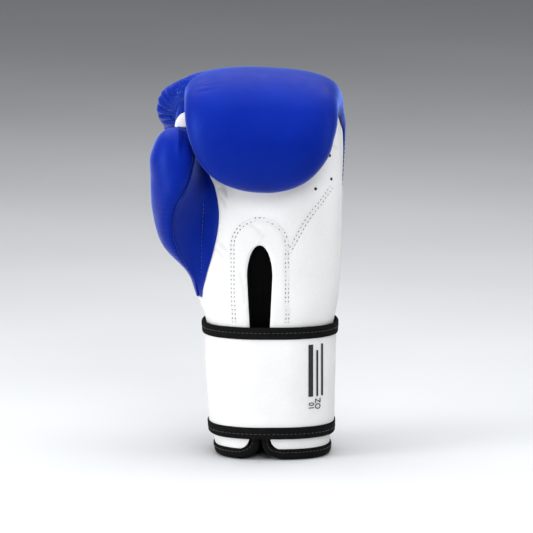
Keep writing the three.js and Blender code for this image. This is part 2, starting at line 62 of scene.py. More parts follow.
LEATHER = 1.5
LINING = 0.9
GAP = 0.35
CUFF_FOAM = 4.6
HAND_SQUARENESS = 2.5
MITT_SQUARENESS = 2.7
THUMB_SQUARENESS = 2.25
BINDING_H, BINDING_IN, BINDING_OUT = 7.6, -8.9, 1.1
SLIT_X = -7.6
SLIT_HALF = 9.4
SLIT_WAIST = 7.4
SLIT_WIDEST_Z = 138
SLIT_TOP = 161
STRAP_BOTTOM = 16
STRAP_TOP = 100
STRAP_TAPE = 9
STRAP_MIDDLE = 58
STRAP_IN, STRAP_OUT, STRAP_TAPE_OUT = 0.4, 3.0, 3.6
PEEL_IN = 1.4
ANCHOR_START = 124
STRAP_END = 116
MITT_CLOSING, MITT_END = 7.2, 10
ROLL_OPEN = 7.3
LIP_DROP = 2.0  # how far the leather hangs below the foam at the roll's end
KNUCKLE_SLOPE, KNUCKLE_X = 0.03, -20
KNUCKLE_FROM, KNUCKLE_TO = 3, 6  # stations over which the knuckles begin to slope
THUMB_BOTTOM, THUMB_CLOSING, THUMB_TOP = 119, 219.5, 248
VENTS = [(43.8, 224.5), (45, 207.5), (33.3, 201.5)]
REST_POINT = (2, 30, 0)  # where the record's mount named rest stands

# Height, centre x, half width, palm-side y, back-side y.
HAND = [
    (0, 2.2, 42, -34, 34),
    (16, 1.3, 43.2, -34.5, 34.5),
    (60, 0.4, 44.9, -35.5, 35.5),
    (98, 0, 47, -36, 36),
    (118, -1.3, 51.9, -37, 36),
    (150, -2.8, 55.3, -38, 36),
    (190, -4.5, 58, -36, 37),
    (215, -7.5, 60.5, -31, 37),
    (245, -10, 60, -26, 34),
    (262, -10, 57, -22, 30),
]
# Station, spine y, spine z, centre x, half width, half thickness.
MITT = [
    (0, 36, 102, 0, 48.5, 4),
    (1, 36.5, 130, -1.8, 53.2, 10),
    (2, 37, 165, -5.8, 58.2, 15.5),
    (3, 38, 205, -10, 64.2, 18),
    (4, 34, 239, -11.2, 67.3, 19.5),
    (4.5, 27, 251, -13.6, 68.4, 20.3),
    (5, 18, 260, -13.2, 66.8, 21),
    (6, -8, 267.8, -6.5, 57.5, 20.5),
    (7, -34, 261, -5.6, 56.5, 19.5),
    (8, -48, 243, -5.9, 56, 18),
    (9, -51, 222, -6.6, 56, 17),
    (10, -48, 205, -6.6, 56, 16),
]
# Height, centre x, half width, centre y, half depth.
THUMB = [
    (118, -50.5, 3, -8, 6),
    (138, -53, 7.3, -14, 15),
    (160, -58.5, 20.5, -19, 23),
    (185, -61.5, 24.5, -23, 27),
    (210, -65.5, 22, -26, 27),
    (232, -69, 19, -28, 23),
    (249, -69, 18, -28, 22),
]

rest = next(m for m in frame["record"]["mounts"] if m["name"] == "rest")
ORIGIN = np.array(rest["pos_m"]) - np.array(REST_POINT) * MM

# ---------------------------------------------------------------- curves and lofts


def track(rows):
    """A smooth cubic through rows of (key, value, value...), for one key or an array of them."""
    table = np.array(rows, float)
    keys, values = table[:, 0], table[:, 1:]
    n = len(keys)
    after, before = np.minimum(np.arange(n) + 1, n - 1), np.maximum(np.arange(n) - 1, 0)
    slopes = (values[after] - values[before]) / (keys[after] - keys[before])[:, None]

    def at(key):
        key = np.asarray(key, float)
        i = np.clip(np.searchsorted(keys, key, side="right") - 1, 0, n - 2)
        span = keys[i + 1] - keys[i]
        t = np.clip((key - keys[i]) / span, 0, 1)[..., None]
        m0, m1 = slopes[i] * span[..., None], slopes[i + 1] * span[..., None]
        curve = (
            values[i] * (2 * t**3 - 3 * t**2 + 1)
            + m0 * (t**3 - 2 * t**2 + t)
            + values[i + 1] * (3 * t**2 - 2 * t**3)
            + m1 * (t**3 - t**2)
        )
        return np.moveaxis(curve, -1, 0)

    return at


def rounded(value, squareness):
    """A power of a cosine or sine that keeps its sign: the superellipse's coordinate."""
    return np.sign(value) * np.abs(value) ** (2 / squareness)


def smoothstep(value, low, high):
    t = np.clip((value - low) / (high - low), 0, 1)
    return t * t * (3 - 2 * t)


def closing(key, start, finish, power):
    t = np.clip((key - start) / (finish - start), 0, 1)
    return (1 - t**power) ** (1 / power)


def bump(value, centre, width):
    """A smooth hill of height 1."""
    return np.exp(-(((value - centre) / width) ** 2))


hand_at, mitt_at, thumb_at = track(HAND), track(MITT), track(THUMB)


def hand(z, angle, out=0.0):
    z, angle, out = np.broadcast_arrays(z, angle, out)
    cx, half, front, back = hand_at(z)
    a = np.radians(angle)
    x = cx + (half + out) * rounded(np.cos(a), HAND_SQUARENESS)
    y = (front + back) / 2 + ((back - front) / 2 + out) * rounded(np.sin(a), HAND_SQUARENESS)
    return np.stack([x, y, z.astype(float)], -1)


def hand_angle(z, x):
    """The angle on the palm side at which the hand loft stands at x."""
    cx, half, _, _ = hand_at(z)
    share = np.clip((x - cx) / half, -1, 1)
    return 360 - np.degrees(np.arccos(rounded(share, 4 / HAND_SQUARENESS)))


def spine_way(station):
    """The way that the mitt's spine runs, in y and z."""
    ahead, behind = np.minimum(station + 0.05, MITT_END), np.maximum(station - 0.05, 0)
    return mitt_at(ahead)[:2] - mitt_at(behind)[:2]


def knuckle_drop(station, x):
    return KNUCKLE_SLOPE * (x - KNUCKLE_X) * smoothstep(station, KNUCKLE_FROM, KNUCKLE_TO)


def mitt(station, angle, out=0.0):
    station, angle, out = np.broadcast_arrays(station, angle, out)
    y, z, cx, half, thick = mitt_at(station)
    along = spine_way(station)
    ty, tz = along / np.hypot(*along)
    f = closing(station, MITT_CLOSING, MITT_END, 2)
    width, depth = np.maximum(half * f + out, 0.6), np.maximum(thick * f**0.7 + out, 0.4)
    a = np.radians(angle)
    x = cx + width * rounded(np.cos(a), MITT_SQUARENESS)
    n = depth * rounded(np.sin(a), MITT_SQUARENESS)
    end = out * smoothstep(station, MITT_CLOSING, MITT_END) + LIP_DROP * smoothstep(station, 8.6, MITT_END)
    drop = knuckle_drop(station, x)
    return np.stack([x, y + n * tz + end * ty, z - n * ty + end * tz - drop], -1)


def thumb_reach(z, cosine):
    """The share of the half width that is left near the top, which stays wide beside the mitt."""
    f = closing(z, THUMB_CLOSING, THUMB_TOP, 2.4)
    return f + (closing(z, THUMB_CLOSING, THUMB_TOP, 9) - f) * np.clip(cosine, 0, 1)


def thumb(z, angle, out=0.0):
    z, angle, out = np.broadcast_arrays(z, angle, out)
    cx, half, cy, depth = thumb_at(z)
    f = closing(z, THUMB_CLOSING, THUMB_TOP, 2.4)
    a = np.radians(angle)
    x = cx + np.maximum(half * thumb_reach(z, np.cos(a)) + out, 0.5) * rounded(np.cos(a), THUMB_SQUARENESS)
    y = cy + np.maximum(depth * f + out, 0.5) * rounded(np.sin(a), THUMB_SQUARENESS)
    return np.stack([x, y, z + out * smoothstep(z, THUMB_CLOSING, THUMB_TOP)], -1)


def thumb_angle(z, x):
    """The angle on the palm side at which the thumb loft stands at x."""
    z, x = np.broadcast_arrays(np.asarray(z, float), x)
    cx, half, _, _ = thumb_at(z)
    low, high = np.full(z.shape, -1.0), np.full(z.shape, 1.0)
    for _ in range(30):
        cosine = (low + high) / 2
        over = thumb_reach(z, cosine) * rounded(cosine, THUMB_SQUARENESS) * half > x - cx
        low, high = np.where(over, low, cosine), np.where(over, cosine, high)
    return 360 - np.degrees(np.arccos(cosine))


def ripple(points, wavelength, seed):
    """Smooth noise between about -1 and 1, from waves in fixed directions."""
    rng = np.random.default_rng(seed)
    total = 0
    for _ in range(9):
        direction = rng.normal(size=3)
        direction /= np.linalg.norm(direction)
        length = wavelength * rng.uniform(0.7, 1.5)
        phase = rng.uniform(0, 2 * math.pi)
        total = total + np.sin(points @ direction * (2 * math.pi / length) + phase)
    return total / 4


def line_distance(path, u, v):
    """How far (u, v) lies from a polyline."""
    near = np.full(np.shape(u), 1e9)
    for (u0, v0), (u1, v1) in zip(path[:-1], path[1:]):
        du, dv = u1 - u0, v1 - v0
        t = np.clip(((u - u0) * du + (v - v0) * dv) / (du * du + dv * dv), 0, 1)
        near = np.minimum(near, np.hypot(u - u0 - t * du, v - v0 - t * dv))
    return near


def lengths(points):
    """How far along a line each of its points lies."""
    return np.concatenate([[0], np.cumsum(np.linalg.norm(np.diff(points, axis=0), axis=1))])


def unit(vectors):
    return vectors / np.linalg.norm(vectors, axis=1)[:, None]


def between(a, b, share):
    return a * (1 - share) + b * share


def evenly(line, surface, pitch):
    """(u, v) places at an even pitch along a line that lies on a surface."""
    line = np.asarray(line, float)
    marks = np.linspace(0, len(line) - 1, 60 * (len(line) - 1) + 1)
    u, v = (np.interp(marks, np.arange(len(line)), line[:, k]) for k in (0, 1))
    length = lengths(surface(u, v))
    wanted = np.linspace(0, length[-1], max(int(length[-1] / pitch), 1) + 1)
    return np.interp(wanted, length, u), np.interp(wanted, length, v)


# ---------------------------------------------------------------- meshes


def even(curve, low, high, step):
    """Parameters between low and high that lie evenly along a curve, about step apart."""
    dense = np.linspace(low, high, 1500)
    length = lengths(curve(dense))
    return np.interp(np.linspace(0, length[-1], int(length[-1] / step) + 2), length, dense)


def grid_quads(rows, columns, start=0, wrap=False):
    """Quads of a grid of points; they face outwards on the three lofts."""
    i, j = np.meshgrid(np.arange(rows - 1), np.arange(columns - (0 if wrap else 1)), indexing="ij")
    k = (j + 1) % columns
    corners = [i * columns + j, i * columns + k, (i + 1) * columns + k, (i + 1) * columns + j]
    return start + np.stack(corners, -1).reshape(-1, 4)


def compact(faces, *values):
    """The same faces with no point left over, and the values of the points that they keep."""
    used, index = np.unique(faces, return_inverse=True)
    return index.reshape(np.shape(faces)), *(value[used] for value in values)


def make(name, points, faces, material, sharp=SHARP, grime_and_shade=None):
    """An object from points in millimetres. Its last argument, 0 to 1 a point, darkens its material: grime
    and painted shade along seams, painted shade in creases, folds and grooves.
    """
    mesh = bpy.data.meshes.new(name)
    placed = np.asarray(points, float).reshape(-1, 3) * MM + ORIGIN
    mesh.from_pydata(placed.tolist(), [], [list(map(int, f)) for f in faces])
    mesh.materials.append(material)
    mesh.shade_smooth()
    mesh.set_sharp_from_angle(angle=math.radians(sharp))
    values = np.zeros(len(placed)) if grime_and_shade is None else np.asarray(grime_and_shade, float).ravel()
    mesh.attributes.new("grime_and_shade", "FLOAT", "POINT").data.foreach_set("value", values.astype(np.float32))
    piece = bpy.data.objects.new(name, mesh)
    bpy.context.collection.objects.link(piece)
    return piece


def modified(piece):
    """The piece with its modifiers applied."""
    bpy.context.view_layer.update()
    evaluated = piece.evaluated_get(bpy.context.evaluated_depsgraph_get())
    mesh = bpy.data.meshes.new_from_object(evaluated)
    piece.modifiers.clear()
    piece.data = mesh
    mesh.set_sharp_from_angle(angle=math.radians(SHARP))
    return piece


def hide(name, points, faces, material, thickness=LEATHER, edge=0.35, grime_and_shade=None):
    """A sheet of leather or cloth: its outer face is given, and its thickness goes inwards."""
    piece = make(name, points, faces, material, grime_and_shade=grime_and_shade)
    solid = piece.modifiers.new("thickness", "SOLIDIFY")
    solid.thickness = thickness * MM
    solid.offset = -1
    if edge:
        soft = piece.modifiers.new("edge", "BEVEL")
        soft.width = edge * MM
        soft.segments = 2
        soft.limit_method = "ANGLE"
        soft.angle_limit = math.radians(60)
    return modified(piece)


def sheet(name, points, material, thickness=LEATHER, edge=0.35, grime_and_shade=None):
    rows, columns = points.shape[:2]
    return hide(name, points, grid_quads(rows, columns), material, thickness, edge, grime_and_shade)


def tube(name, rings, material, sharp=50, grime_and_shade=None):
    """A solid from rings of points, with a cap on each end."""
    rows, columns = rings.shape[:2]
    faces = grid_quads(rows, columns, 0, True).tolist()
    faces.append(list(range(columns))[::-1])
    faces.append(list(range((rows - 1) * columns, rows * columns)))
    return make(name, rings, faces, material, sharp, grime_and_shade)


def table(rows, columns):
    """Two arrays of a grid from its row values and its column values."""
    return np.meshgrid(rows, columns, indexing="ij")


def rods(rings, sides):
    """Points and faces of many short rods, from rings of corner points, with a cap on each end."""
    points = np.stack(rings, 1)
    count = points.shape[1]
    faces = []
    for start in range(0, len(points) * count, count):
        faces += grid_quads(count // sides, sides, start, True).tolist()
        faces.append([start + s for s in range(sides)][::-1])
        faces.append([start + count - sides + s for s in range(sides)])
    return points.reshape(-1, 3), faces


def spindles(centres, along, normals, length, radius):
    """Points and faces of many short rods, fat in the middle and sunk at their two ends."""
    profile = [(-0.5, 0.3, -0.9), (-0.34, 0.85, 0.0), (0, 1.0, 0.35), (0.34, 0.85, 0.0), (0.5, 0.3, -0.9)]
    sides = 6
    across = unit(np.cross(along, normals))
    turns = np.linspace(0, 2 * math.pi, sides, endpoint=False)
    rings = []
    for place, share, lift in profile:
        middle = centres + along * place * length + normals * lift * radius
        for t in turns:
            rings.append(middle + radius * share * (normals * math.cos(t) + across * math.sin(t)))
    return rods(rings, sides)


def on_surface(surface, u, v):
    """The point of a surface at (u, v) and its outward normal there."""
    step = 0.2
    at = surface(u, v)
    return at, unit(np.cross(surface(u + step, v) - at, surface(u, v + step) - at))


def gathered(parts):
    """One list of points and one of faces from several."""
    points, faces, start = [], [], 0
    for p, f in parts:
        points.append(p)
        faces += [[k + start for k in face] for face in f]
        start += len(p)
    return np.concatenate(points), faces


def stitches(name, lines, surface, material, pitch=3.2, length=2.5, radius=0.34, lift=0.0):
    """Thread along lines of (u, v) on a surface."""
    parts = []
    for line in lines:
        u, v = evenly(line, surface, pitch)
        at, normals = on_surface(surface, (u[:-1] + u[1:]) / 2, (v[:-1] + v[1:]) / 2)
        along = unit(np.diff(surface(u, v), axis=0))
        parts.append(spindles(at + normals * lift, along, normals, length, radius))
    return make(name, *gathered(parts), material, 70)


def dots(name, lines, surface, material, pitch=3.2, radius=0.5, height=0.12):
    """Needle holes: small dark marks where the thread goes in, their darkness painted shade in the holes."""
    parts = []
    sides = 8
    turns = np.linspace(0, 2 * math.pi, sides, endpoint=False)
    for line in lines:
        at, normals = on_surface(surface, *evenly(line, surface, pitch))
        first = unit(np.cross(normals, [0.3, 0.2, 0.9]))
        second = np.cross(normals, first)
        rings = []
        for share, lift in ((1.0, -0.4), (1.0, 0.3), (0.55, 1.0)):
            for t in turns:
                around = first * math.cos(t) + second * math.sin(t)
                rings.append(at + around * radius * share + normals * height * lift)
        parts.append(rods(rings, sides))
    return make(name, *gathered(parts), material, 70)


# ---------------------------------------------------------------- staying clear of neighbours

SPINE = np.linspace(0, MITT_END, 401)


def in_mitt(points, gap):
    """Which points lie in the mitt's volume, grown by a gap."""
    points = np.asarray(points, float).reshape(-1, 3)
    spine = mitt_at(SPINE)
    drop = np.zeros(len(points))
    for _ in range(2):
        y, z = points[:, 1], points[:, 2] + drop
        near = np.argmin((y[:, None] - spine[0]) ** 2 + (z[:, None] - spine[1]) ** 2, axis=1)
        station = SPINE[near]
        drop = knuckle_drop(station, points[:, 0])
    ty, tz = spine_way(station)
    size = np.hypot(ty, tz)
    y0, z0, cx, half, thick = mitt_at(station)
    f = closing(station, MITT_CLOSING, MITT_END, 2)
    n = ((y - y0) * tz - (z - z0) * ty) / size
    past = np.abs((y - y0) * ty + (z - z0) * tz) / size
    width, depth = np.maximum(half * f + gap, 0.1), np.maximum(thick * f**0.7 + gap, 0.1)
    value = (np.abs(points[:, 0] - cx) / width) ** MITT_SQUARENESS + (np.abs(n) / depth) ** MITT_SQUARENESS
    return (value < 1) & (past < 1.5 + max(gap, 0))


def in_hand(points, gap):
    """Which points lie in the hand loft, grown by a gap."""
    points = np.asarray(points, float).reshape(-1, 3)
    cx, half, front, back = hand_at(points[:, 2])
    x = np.abs(points[:, 0] - cx) / (half + gap)
    y = np.abs(points[:, 1] - (front + back) / 2) / ((back - front) / 2 + gap)
    return x**HAND_SQUARENESS + y**HAND_SQUARENESS < 1


def pushed(points, inside, direction):
    """The points, moved along a direction until they are out of a volume."""
    step, reach = 0.25, 16
    shape = points.shape
    moved = points.reshape(-1, 3).copy()
    stuck = np.arange(len(moved))
    for _ in range(int(reach / step)):
        stuck = stuck[inside(moved[stuck])]
        if not len(stuck):
            break
        moved[stuck] += step * np.asarray(direction, float)
    return moved.reshape(shape)


def kept(points, faces, gone):
    """The faces and the points of a grid that are left when the faces wholly in a volume go."""
    points = points.reshape(-1, 3)
    return compact(faces[~gone(points)[faces].all(axis=1)], points)


# ---------------------------------------------------------------- materials


class Paint:
    """A node material built up in a few calls."""

    def __init__(self, name, rough, **sockets):
        self.material = bpy.data.materials.new(name)
        self.material.use_nodes = True
        self.tree = self.material.node_tree
        self.shader = self.tree.nodes["Principled BSDF"]
        self.shader.inputs["Roughness"].default_value = rough
        for socket, value in sockets.items():
            self.shader.inputs[socket.replace("_", " ")].default_value = value
        self.place = self.node("ShaderNodeTexCoord").outputs["Object"]

    def node(self, kind, inputs=None, **settings):
        made = self.tree.nodes.new(kind)
        for key, value in settings.items():
            setattr(made, key, value)
        for key, value in (inputs or {}).items():
            if isinstance(value, bpy.types.NodeSocket):
                self.tree.links.new(value, made.inputs[key])
            else:
                made.inputs[key].default_value = value
        return made

    def noise(self, millimetres, detail=3.0, roughness=0.55):
        """Cloudy values with patches about that size."""
        scale = 1 / (millimetres * MM)
        inputs = {"Vector": self.place, "Scale": scale, "Detail": detail, "Roughness": roughness}
        return self.node("ShaderNodeTexNoise", inputs).outputs["Fac"]

    def cells(self, millimetres, feature="F1"):
        inputs = {"Vector": self.place, "Scale": 1 / (millimetres * MM), "Randomness": 0.9}
        return self.node("ShaderNodeTexVoronoi", inputs, feature=feature).outputs["Distance"]

    def waves(self, millimetres, axis, distortion=0.4):
        """Ridges across an axis, that distance apart."""
        scale = 2 * math.pi / (millimetres * MM) / 20
        inputs = {"Vector": self.place, "Scale": scale, "Distortion": distortion, "Detail": 1.0}
        return self.node("ShaderNodeTexWave", inputs, bands_direction=axis).outputs["Fac"]

    def math(self, operation, a, b):
        return self.node("ShaderNodeMath", {0: a, 1: b}, operation=operation).outputs[0]

    def span(self, value, low, high, to_low=0.0, to_high=1.0):
        inputs = {"Value": value, "From Min": low, "From Max": high, "To Min": to_low, "To Max": to_high}
        return self.node("ShaderNodeMapRange", inputs).outputs["Result"]

    def blend(self, share, a, b):
        """A colour between two, by a share."""
        return self.node("ShaderNodeMixRGB", {"Fac": share, "Color1": a, "Color2": b}).outputs["Color"]

    # Each point's grime and painted shade, 0 to 1, as make() stores it.
    def grime_and_shade(self):
        return self.node("ShaderNodeAttribute", attribute_name="grime_and_shade").outputs["Fac"]

    def colour(self, socket):
        self.tree.links.new(socket, self.shader.inputs["Base Color"])
        return self

    def rough(self, socket):
        self.tree.links.new(socket, self.shader.inputs["Roughness"])
        return self

    def bump(self, layers):
        """Bumps from (height, depth in millimetres) layers, one on another."""
        normal = None
        for height, depth in layers:
            inputs = {"Height": height, "Distance": depth * MM, "Strength": 1.0}
            if normal:
                inputs["Normal"] = normal
            normal = self.node("ShaderNodeBump", inputs).outputs["Normal"]
        self.tree.links.new(normal, self.shader.inputs["Normal"])
        return self.material


def grained_leather(name, deep, bright, pit_grime_and_shade, rough, grain, pitting, **gloss):
    """Coated leather: pebbled grain, cloudy colour, darker pits, grime and painted shade at seams, painted
    shade in creases and folds, uneven gloss.
    """
    p = Paint(name, rough, IOR=1.5, **gloss)
    pebbles = p.cells(1.5)
    fine = p.cells(0.55)
    cloud = p.span(p.noise(38, 4), 0.32, 0.7)
    base = p.blend(cloud, deep, bright)
    pits = p.span(pebbles, 0.75, 0.25, 0.0, pitting)
    base = p.blend(pits, base, pit_grime_and_shade)
    # Points' values darken the colour: grime and painted shade along seams, painted shade in creases and
    # folds.
    p.colour(p.blend(p.grime_and_shade(), base, pit_grime_and_shade))
    p.rough(p.span(p.noise(9, 4), 0.3, 0.7, rough - 0.05, rough + 0.07))
    return p.bump([(p.noise(16, 3), 0.3), (pebbles, -grain), (fine, -grain * 0.35)])


def woven_tape(name, deep, bright):
    """Folded binding tape: a fine diagonal rib and lint."""
    p = Paint(name, 0.85, Specular_IOR_Level=0.1)
    rib = p.waves(1.1, "DIAGONAL", 0.6)
    cross = p.waves(0.9, "Z", 0.5)
    weave = p.math("MULTIPLY", rib, cross)
    lint = p.span(p.noise(5, 5), 0.5, 0.72, 0.0, 0.5)
    base = p.blend(weave, deep, bright)
    base = p.blend(lint, base, bright)
    # Painted shade in the sewn groove darkens the tape towards its deep colour.
    p.colour(p.blend(p.grime_and_shade(), base, deep))
    return p.bump([(p.noise(7, 3), 0.25), (weave, 0.12)])


def cloth(name, deep, bright, pitch, depth, rough=0.9, sheen=0.2, gloss=0.4):
    """Plain woven or knitted cloth."""
    p = Paint(name, rough, Sheen_Weight=sheen, Sheen_Roughness=0.6, Specular_IOR_Level=gloss)
    weave = p.math("ADD", p.waves(pitch, "Z", 0.8), p.waves(pitch, "X", 0.8))
    share = p.span(weave, 0.3, 1.6)
    base = p.blend(share, deep, bright)
    base = p.blend(p.span(p.noise(12, 4), 0.4, 0.75, 0.0, 0.4), base, deep)
    # Painted shade in the ribs' valleys darkens the cloth towards its deep colour.
    p.colour(p.blend(p.grime_and_shade(), base, deep))
    return p.bump([(p.noise(6, 3), 0.2), (weave, depth)])


def foam(name, deep, bright):
    """Open-cell foam: small round pores."""
    p = Paint(name, 0.95, IOR=1.4)
    pores = p.cells(1.1)
    base = p.blend(p.span(pores, 0.6, 0.1, 0.0, 0.7), bright, deep)
    p.colour(p.blend(p.span(p.noise(18, 3), 0.35, 0.7, 0.0, 0.4), base, deep))
    return p.bump([(pores, 0.5), (p.noise(4, 4), 0.4)])


def fibres(name, deep, bright, pitch, depth):
    """Hooks or loops: a dense pile of short fibres."""
    p = Paint(name, 0.95, Sheen_Weight=0.6, Sheen_Roughness=0.4, IOR=1.4)
    pile = p.cells(pitch)
    tufts = p.noise(pitch * 3, 6, 0.7)
    base = p.blend(p.span(pile, 0.55, 0.05), deep, bright)
    p.colour(p.blend(p.span(tufts, 0.35, 0.7, 0.0, 0.6), base, deep))
    return p.bump([(tufts, depth), (pile, -depth)])


def thread(name, deep, bright, twist=0.55, rough=0.6):
    """Twisted sewing thread."""
    p = Paint(name, rough, Sheen_Weight=0.3, Sheen_Roughness=0.5, IOR=1.45)
    strands = p.waves(twist, "DIAGONAL", 0.3)
    p.colour(p.blend(strands, deep, bright))
    return p.bump([(strands, 0.1)])


BLUE = grained_leather(
    "blue_leather", (0.0013, 0.0095, 0.185, 1), (0.0022, 0.013, 0.22, 1), (0.0004, 0.003, 0.075, 1),
    0.42, 0.035, 0.1,
    Specular_IOR_Level=0.3, Specular_Tint=(0.1, 0.3, 1, 1),
    Sheen_Weight=0.8, Sheen_Roughness=0.3, Sheen_Tint=(0.17, 0.3, 1, 1),
)
WHITE = grained_leather(
    "white_leather", (0.65, 0.65, 0.647, 1), (0.7, 0.7, 0.697, 1), (0.3, 0.297, 0.29, 1), 0.5, 0.03, 0.05
)
TAPE = woven_tape("black_tape", (0.0025, 0.0025, 0.0025, 1), (0.008, 0.008, 0.0085, 1))
ELASTIC = cloth(
    "black_elastic", (0.001, 0.001, 0.001, 1), (0.0035, 0.0035, 0.0037, 1), 0.8, 0.12, 0.9, 0.0, 0.12
)
HOOK = fibres("hook_tape", (0.003, 0.003, 0.003, 1), (0.02, 0.02, 0.02, 1), 1.2, 0.6)
LOOP = fibres("loop_tape", (0.004, 0.004, 0.004, 1), (0.02, 0.02, 0.02, 1), 0.7, 0.35)
LINING_CLOTH = cloth("lining_cloth", (0.006, 0.006, 0.008, 1), (0.018, 0.018, 0.021, 1), 1.0, 0.15)
FOAM = foam("pad_foam", (0.5, 0.42, 0.24, 1), (0.72, 0.65, 0.45, 1))
LABEL = cloth("label_cloth", (0.6, 0.58, 0.53, 1), (0.8, 0.79, 0.74, 1), 0.5, 0.06, 0.8)
WHITE_THREAD = thread("white_thread", (0.5, 0.5, 0.49, 1), (0.78, 0.78, 0.77, 1))
BLUE_THREAD = thread("blue_thread", (0.003, 0.012, 0.16, 1), (0.008, 0.035, 0.4, 1))
BLACK_THREAD = thread("black_thread", (0.003, 0.003, 0.003, 1), (0.02, 0.02, 0.02, 1))
# Dark marks of painted shade in needle holes.
NEEDLE_HOLE_SHADE = thread("needle_hole_shade", (0.015, 0.015, 0.015, 1), (0.05, 0.05, 0.05, 1), 0.9, 0.9)
# Black print ink; it also darkens the air holes, for the black lining seen through them and painted shade in
# them.
INK_AND_HOLE_SHADE = cloth("print_ink_and_hole_shade", (0.006, 0.006, 0.007, 1), (0.018, 0.018, 0.02, 1), 0.7, 0.02, 0.6, 0.0)

# ---------------------------------------------------------------- placing pieces


def row_point(x, y, z):
    return tuple(np.array([x, y, z]) * MM + ORIGIN)


# The record's slot that a material belongs to, where its own name isn't the slot's.
SLOTS = {
    "hook_tape": "hook_and_loop", "loop_tape": "hook_and_loop", "white_thread": "white_leather",
    "blue_thread": "blue_leather", "black_thread": "black_tape", "needle_hole_shade": "black_tape",
    "print_ink_and_hole_shade": "black_tape",
}


def place(piece, body, nodes=(), fill=None, slot=None):
    """Rides a piece on a body; given (body, body, start, end) instead, it only bakes the piece's transform.
    """
    # Blender adds a number to a name that the frame's own materials already have.
    material = piece.data.materials[0].name.split(".")[0]
    slot = slot or SLOTS.get(material, material)
    if isinstance(body, str):
        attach(piece, body)
    else:
        first, second, start, end = body
        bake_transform(piece)
    if nodes:
        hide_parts(*nodes)
    return piece


ROLL_BEND = ("hand", "fingers", (-6, 14, 260), (-6, -24, 260))
THUMB_BEND = ("hand", "thumb", (-61, 3, 180), (-74.5, -20.4, 180))
WEB_BEND = ("hand", "thumb", (-38, -30, 180), (-62, -30, 180))
ANCHOR_BEND = ("hand", "strap_front", (-49.5, 8, STRAP_MIDDLE), (-49.5, -4, STRAP_MIDDLE))
END_BEND = ("strap_front", "strap_end", (49.7, -17, STRAP_MIDDLE), (49.7, 1, STRAP_MIDDLE))

# ---------------------------------------------------------------- mitt

TAB = (-62.5, -12, 250)  # where the gathers meet, behind the tab
ACROSS_SIDE = (-0.447, 0.894)  # x and y of the way that the mitt's index side runs there
PLEATS = 40  # folds in a whole turn round the tab
PLEAT_DEPTH = 2.2
LOWEST_RELIEF = -1.3  # the foam lies 1.85 mm down

# Station, and the angles where the shell's leather ends on the little-finger and index sides.
SHELL_EDGES = track([
    (0, 2, 208), (2.8, 0.5, 208), (3.2, -2.5, 208), (3.6, -9.5, 209), (3.95, -14.5, 214), (4.4, -18, 238),
    (4.85, -21, 252), (5.03, -28, 256), (5.13, -50, 258), (5.25, -72, 258), (5.6, -88, 258), (6.3, -84, 256),
    (6.8, -50, 232),
    (7.2, -29, 208.5), (8, -28, 208), (10, -28, 208),
])


def pleats(station, angle):
    """How high the gathers stand on the mitt's index side, and how far they reach."""
    base = mitt(station, angle)
    along = (base[..., 0] - TAB[0]) * ACROSS_SIDE[0] + (base[..., 1] - TAB[1]) * ACROSS_SIDE[1]
    up = base[..., 2] - TAB[2]
    r = np.hypot(along, up)
    turn = np.arctan2(up, along) + 0.05 * ripple(base, 26, 5)
    fold = (0.5 - 0.5 * np.cos(turn * PLEATS + 0.9 * np.sin(turn * 5))) ** 0.75
    side = smoothstep(angle, 118, 146) * (1 - smoothstep(angle, 226, 240))
    fade = smoothstep(r, 4, 11) * (1 - smoothstep(r, 27, 50 + 8 * np.sin(turn * 9)))
    ahead = smoothstep(along, -7, -1)
    return fold * side * fade * ahead, side * fade * ahead


def mitt_out(station, angle):
    """The leather's own relief: soft foam under it, gathers, and creases by the pad's edge."""
    base = mitt(station, angle)
    fold, reach = pleats(station, angle)
    soft = 0.25 + 0.22 * ripple(base, 80, 1) + 0.06 * ripple(base, 24, 2)
    # The index side sags a little below the knuckle, and its shoulder is worn round.
    shape = 1.2 * bump(angle, 182, 40) * bump(station, 4.5, 0.4)
    shape = shape - 2.8 * bump(angle, 136, 28) * bump(station, 5.35, 0.5)
    shape = shape - (
        1.8 * bump(angle, 0, 38) * smoothstep(station, 5.9, 6.8) * (1 - smoothstep(station, 7.8, 8.6))
    )
    creases = 0.0
    for k, s in enumerate((6.42, 6.56, 6.68, 6.82, 6.95)):
        centre = s + 0.03 * np.sin(angle / (5 + k))
        creases = creases + bump(station, centre, 0.04) * bump(angle, 141 - 2 * k, 13)
    out = shape + soft * (1 - reach) + PLEAT_DEPTH * (fold - 0.4 * reach) - 0.35 * creases
    return np.maximum(out, LOWEST_RELIEF)


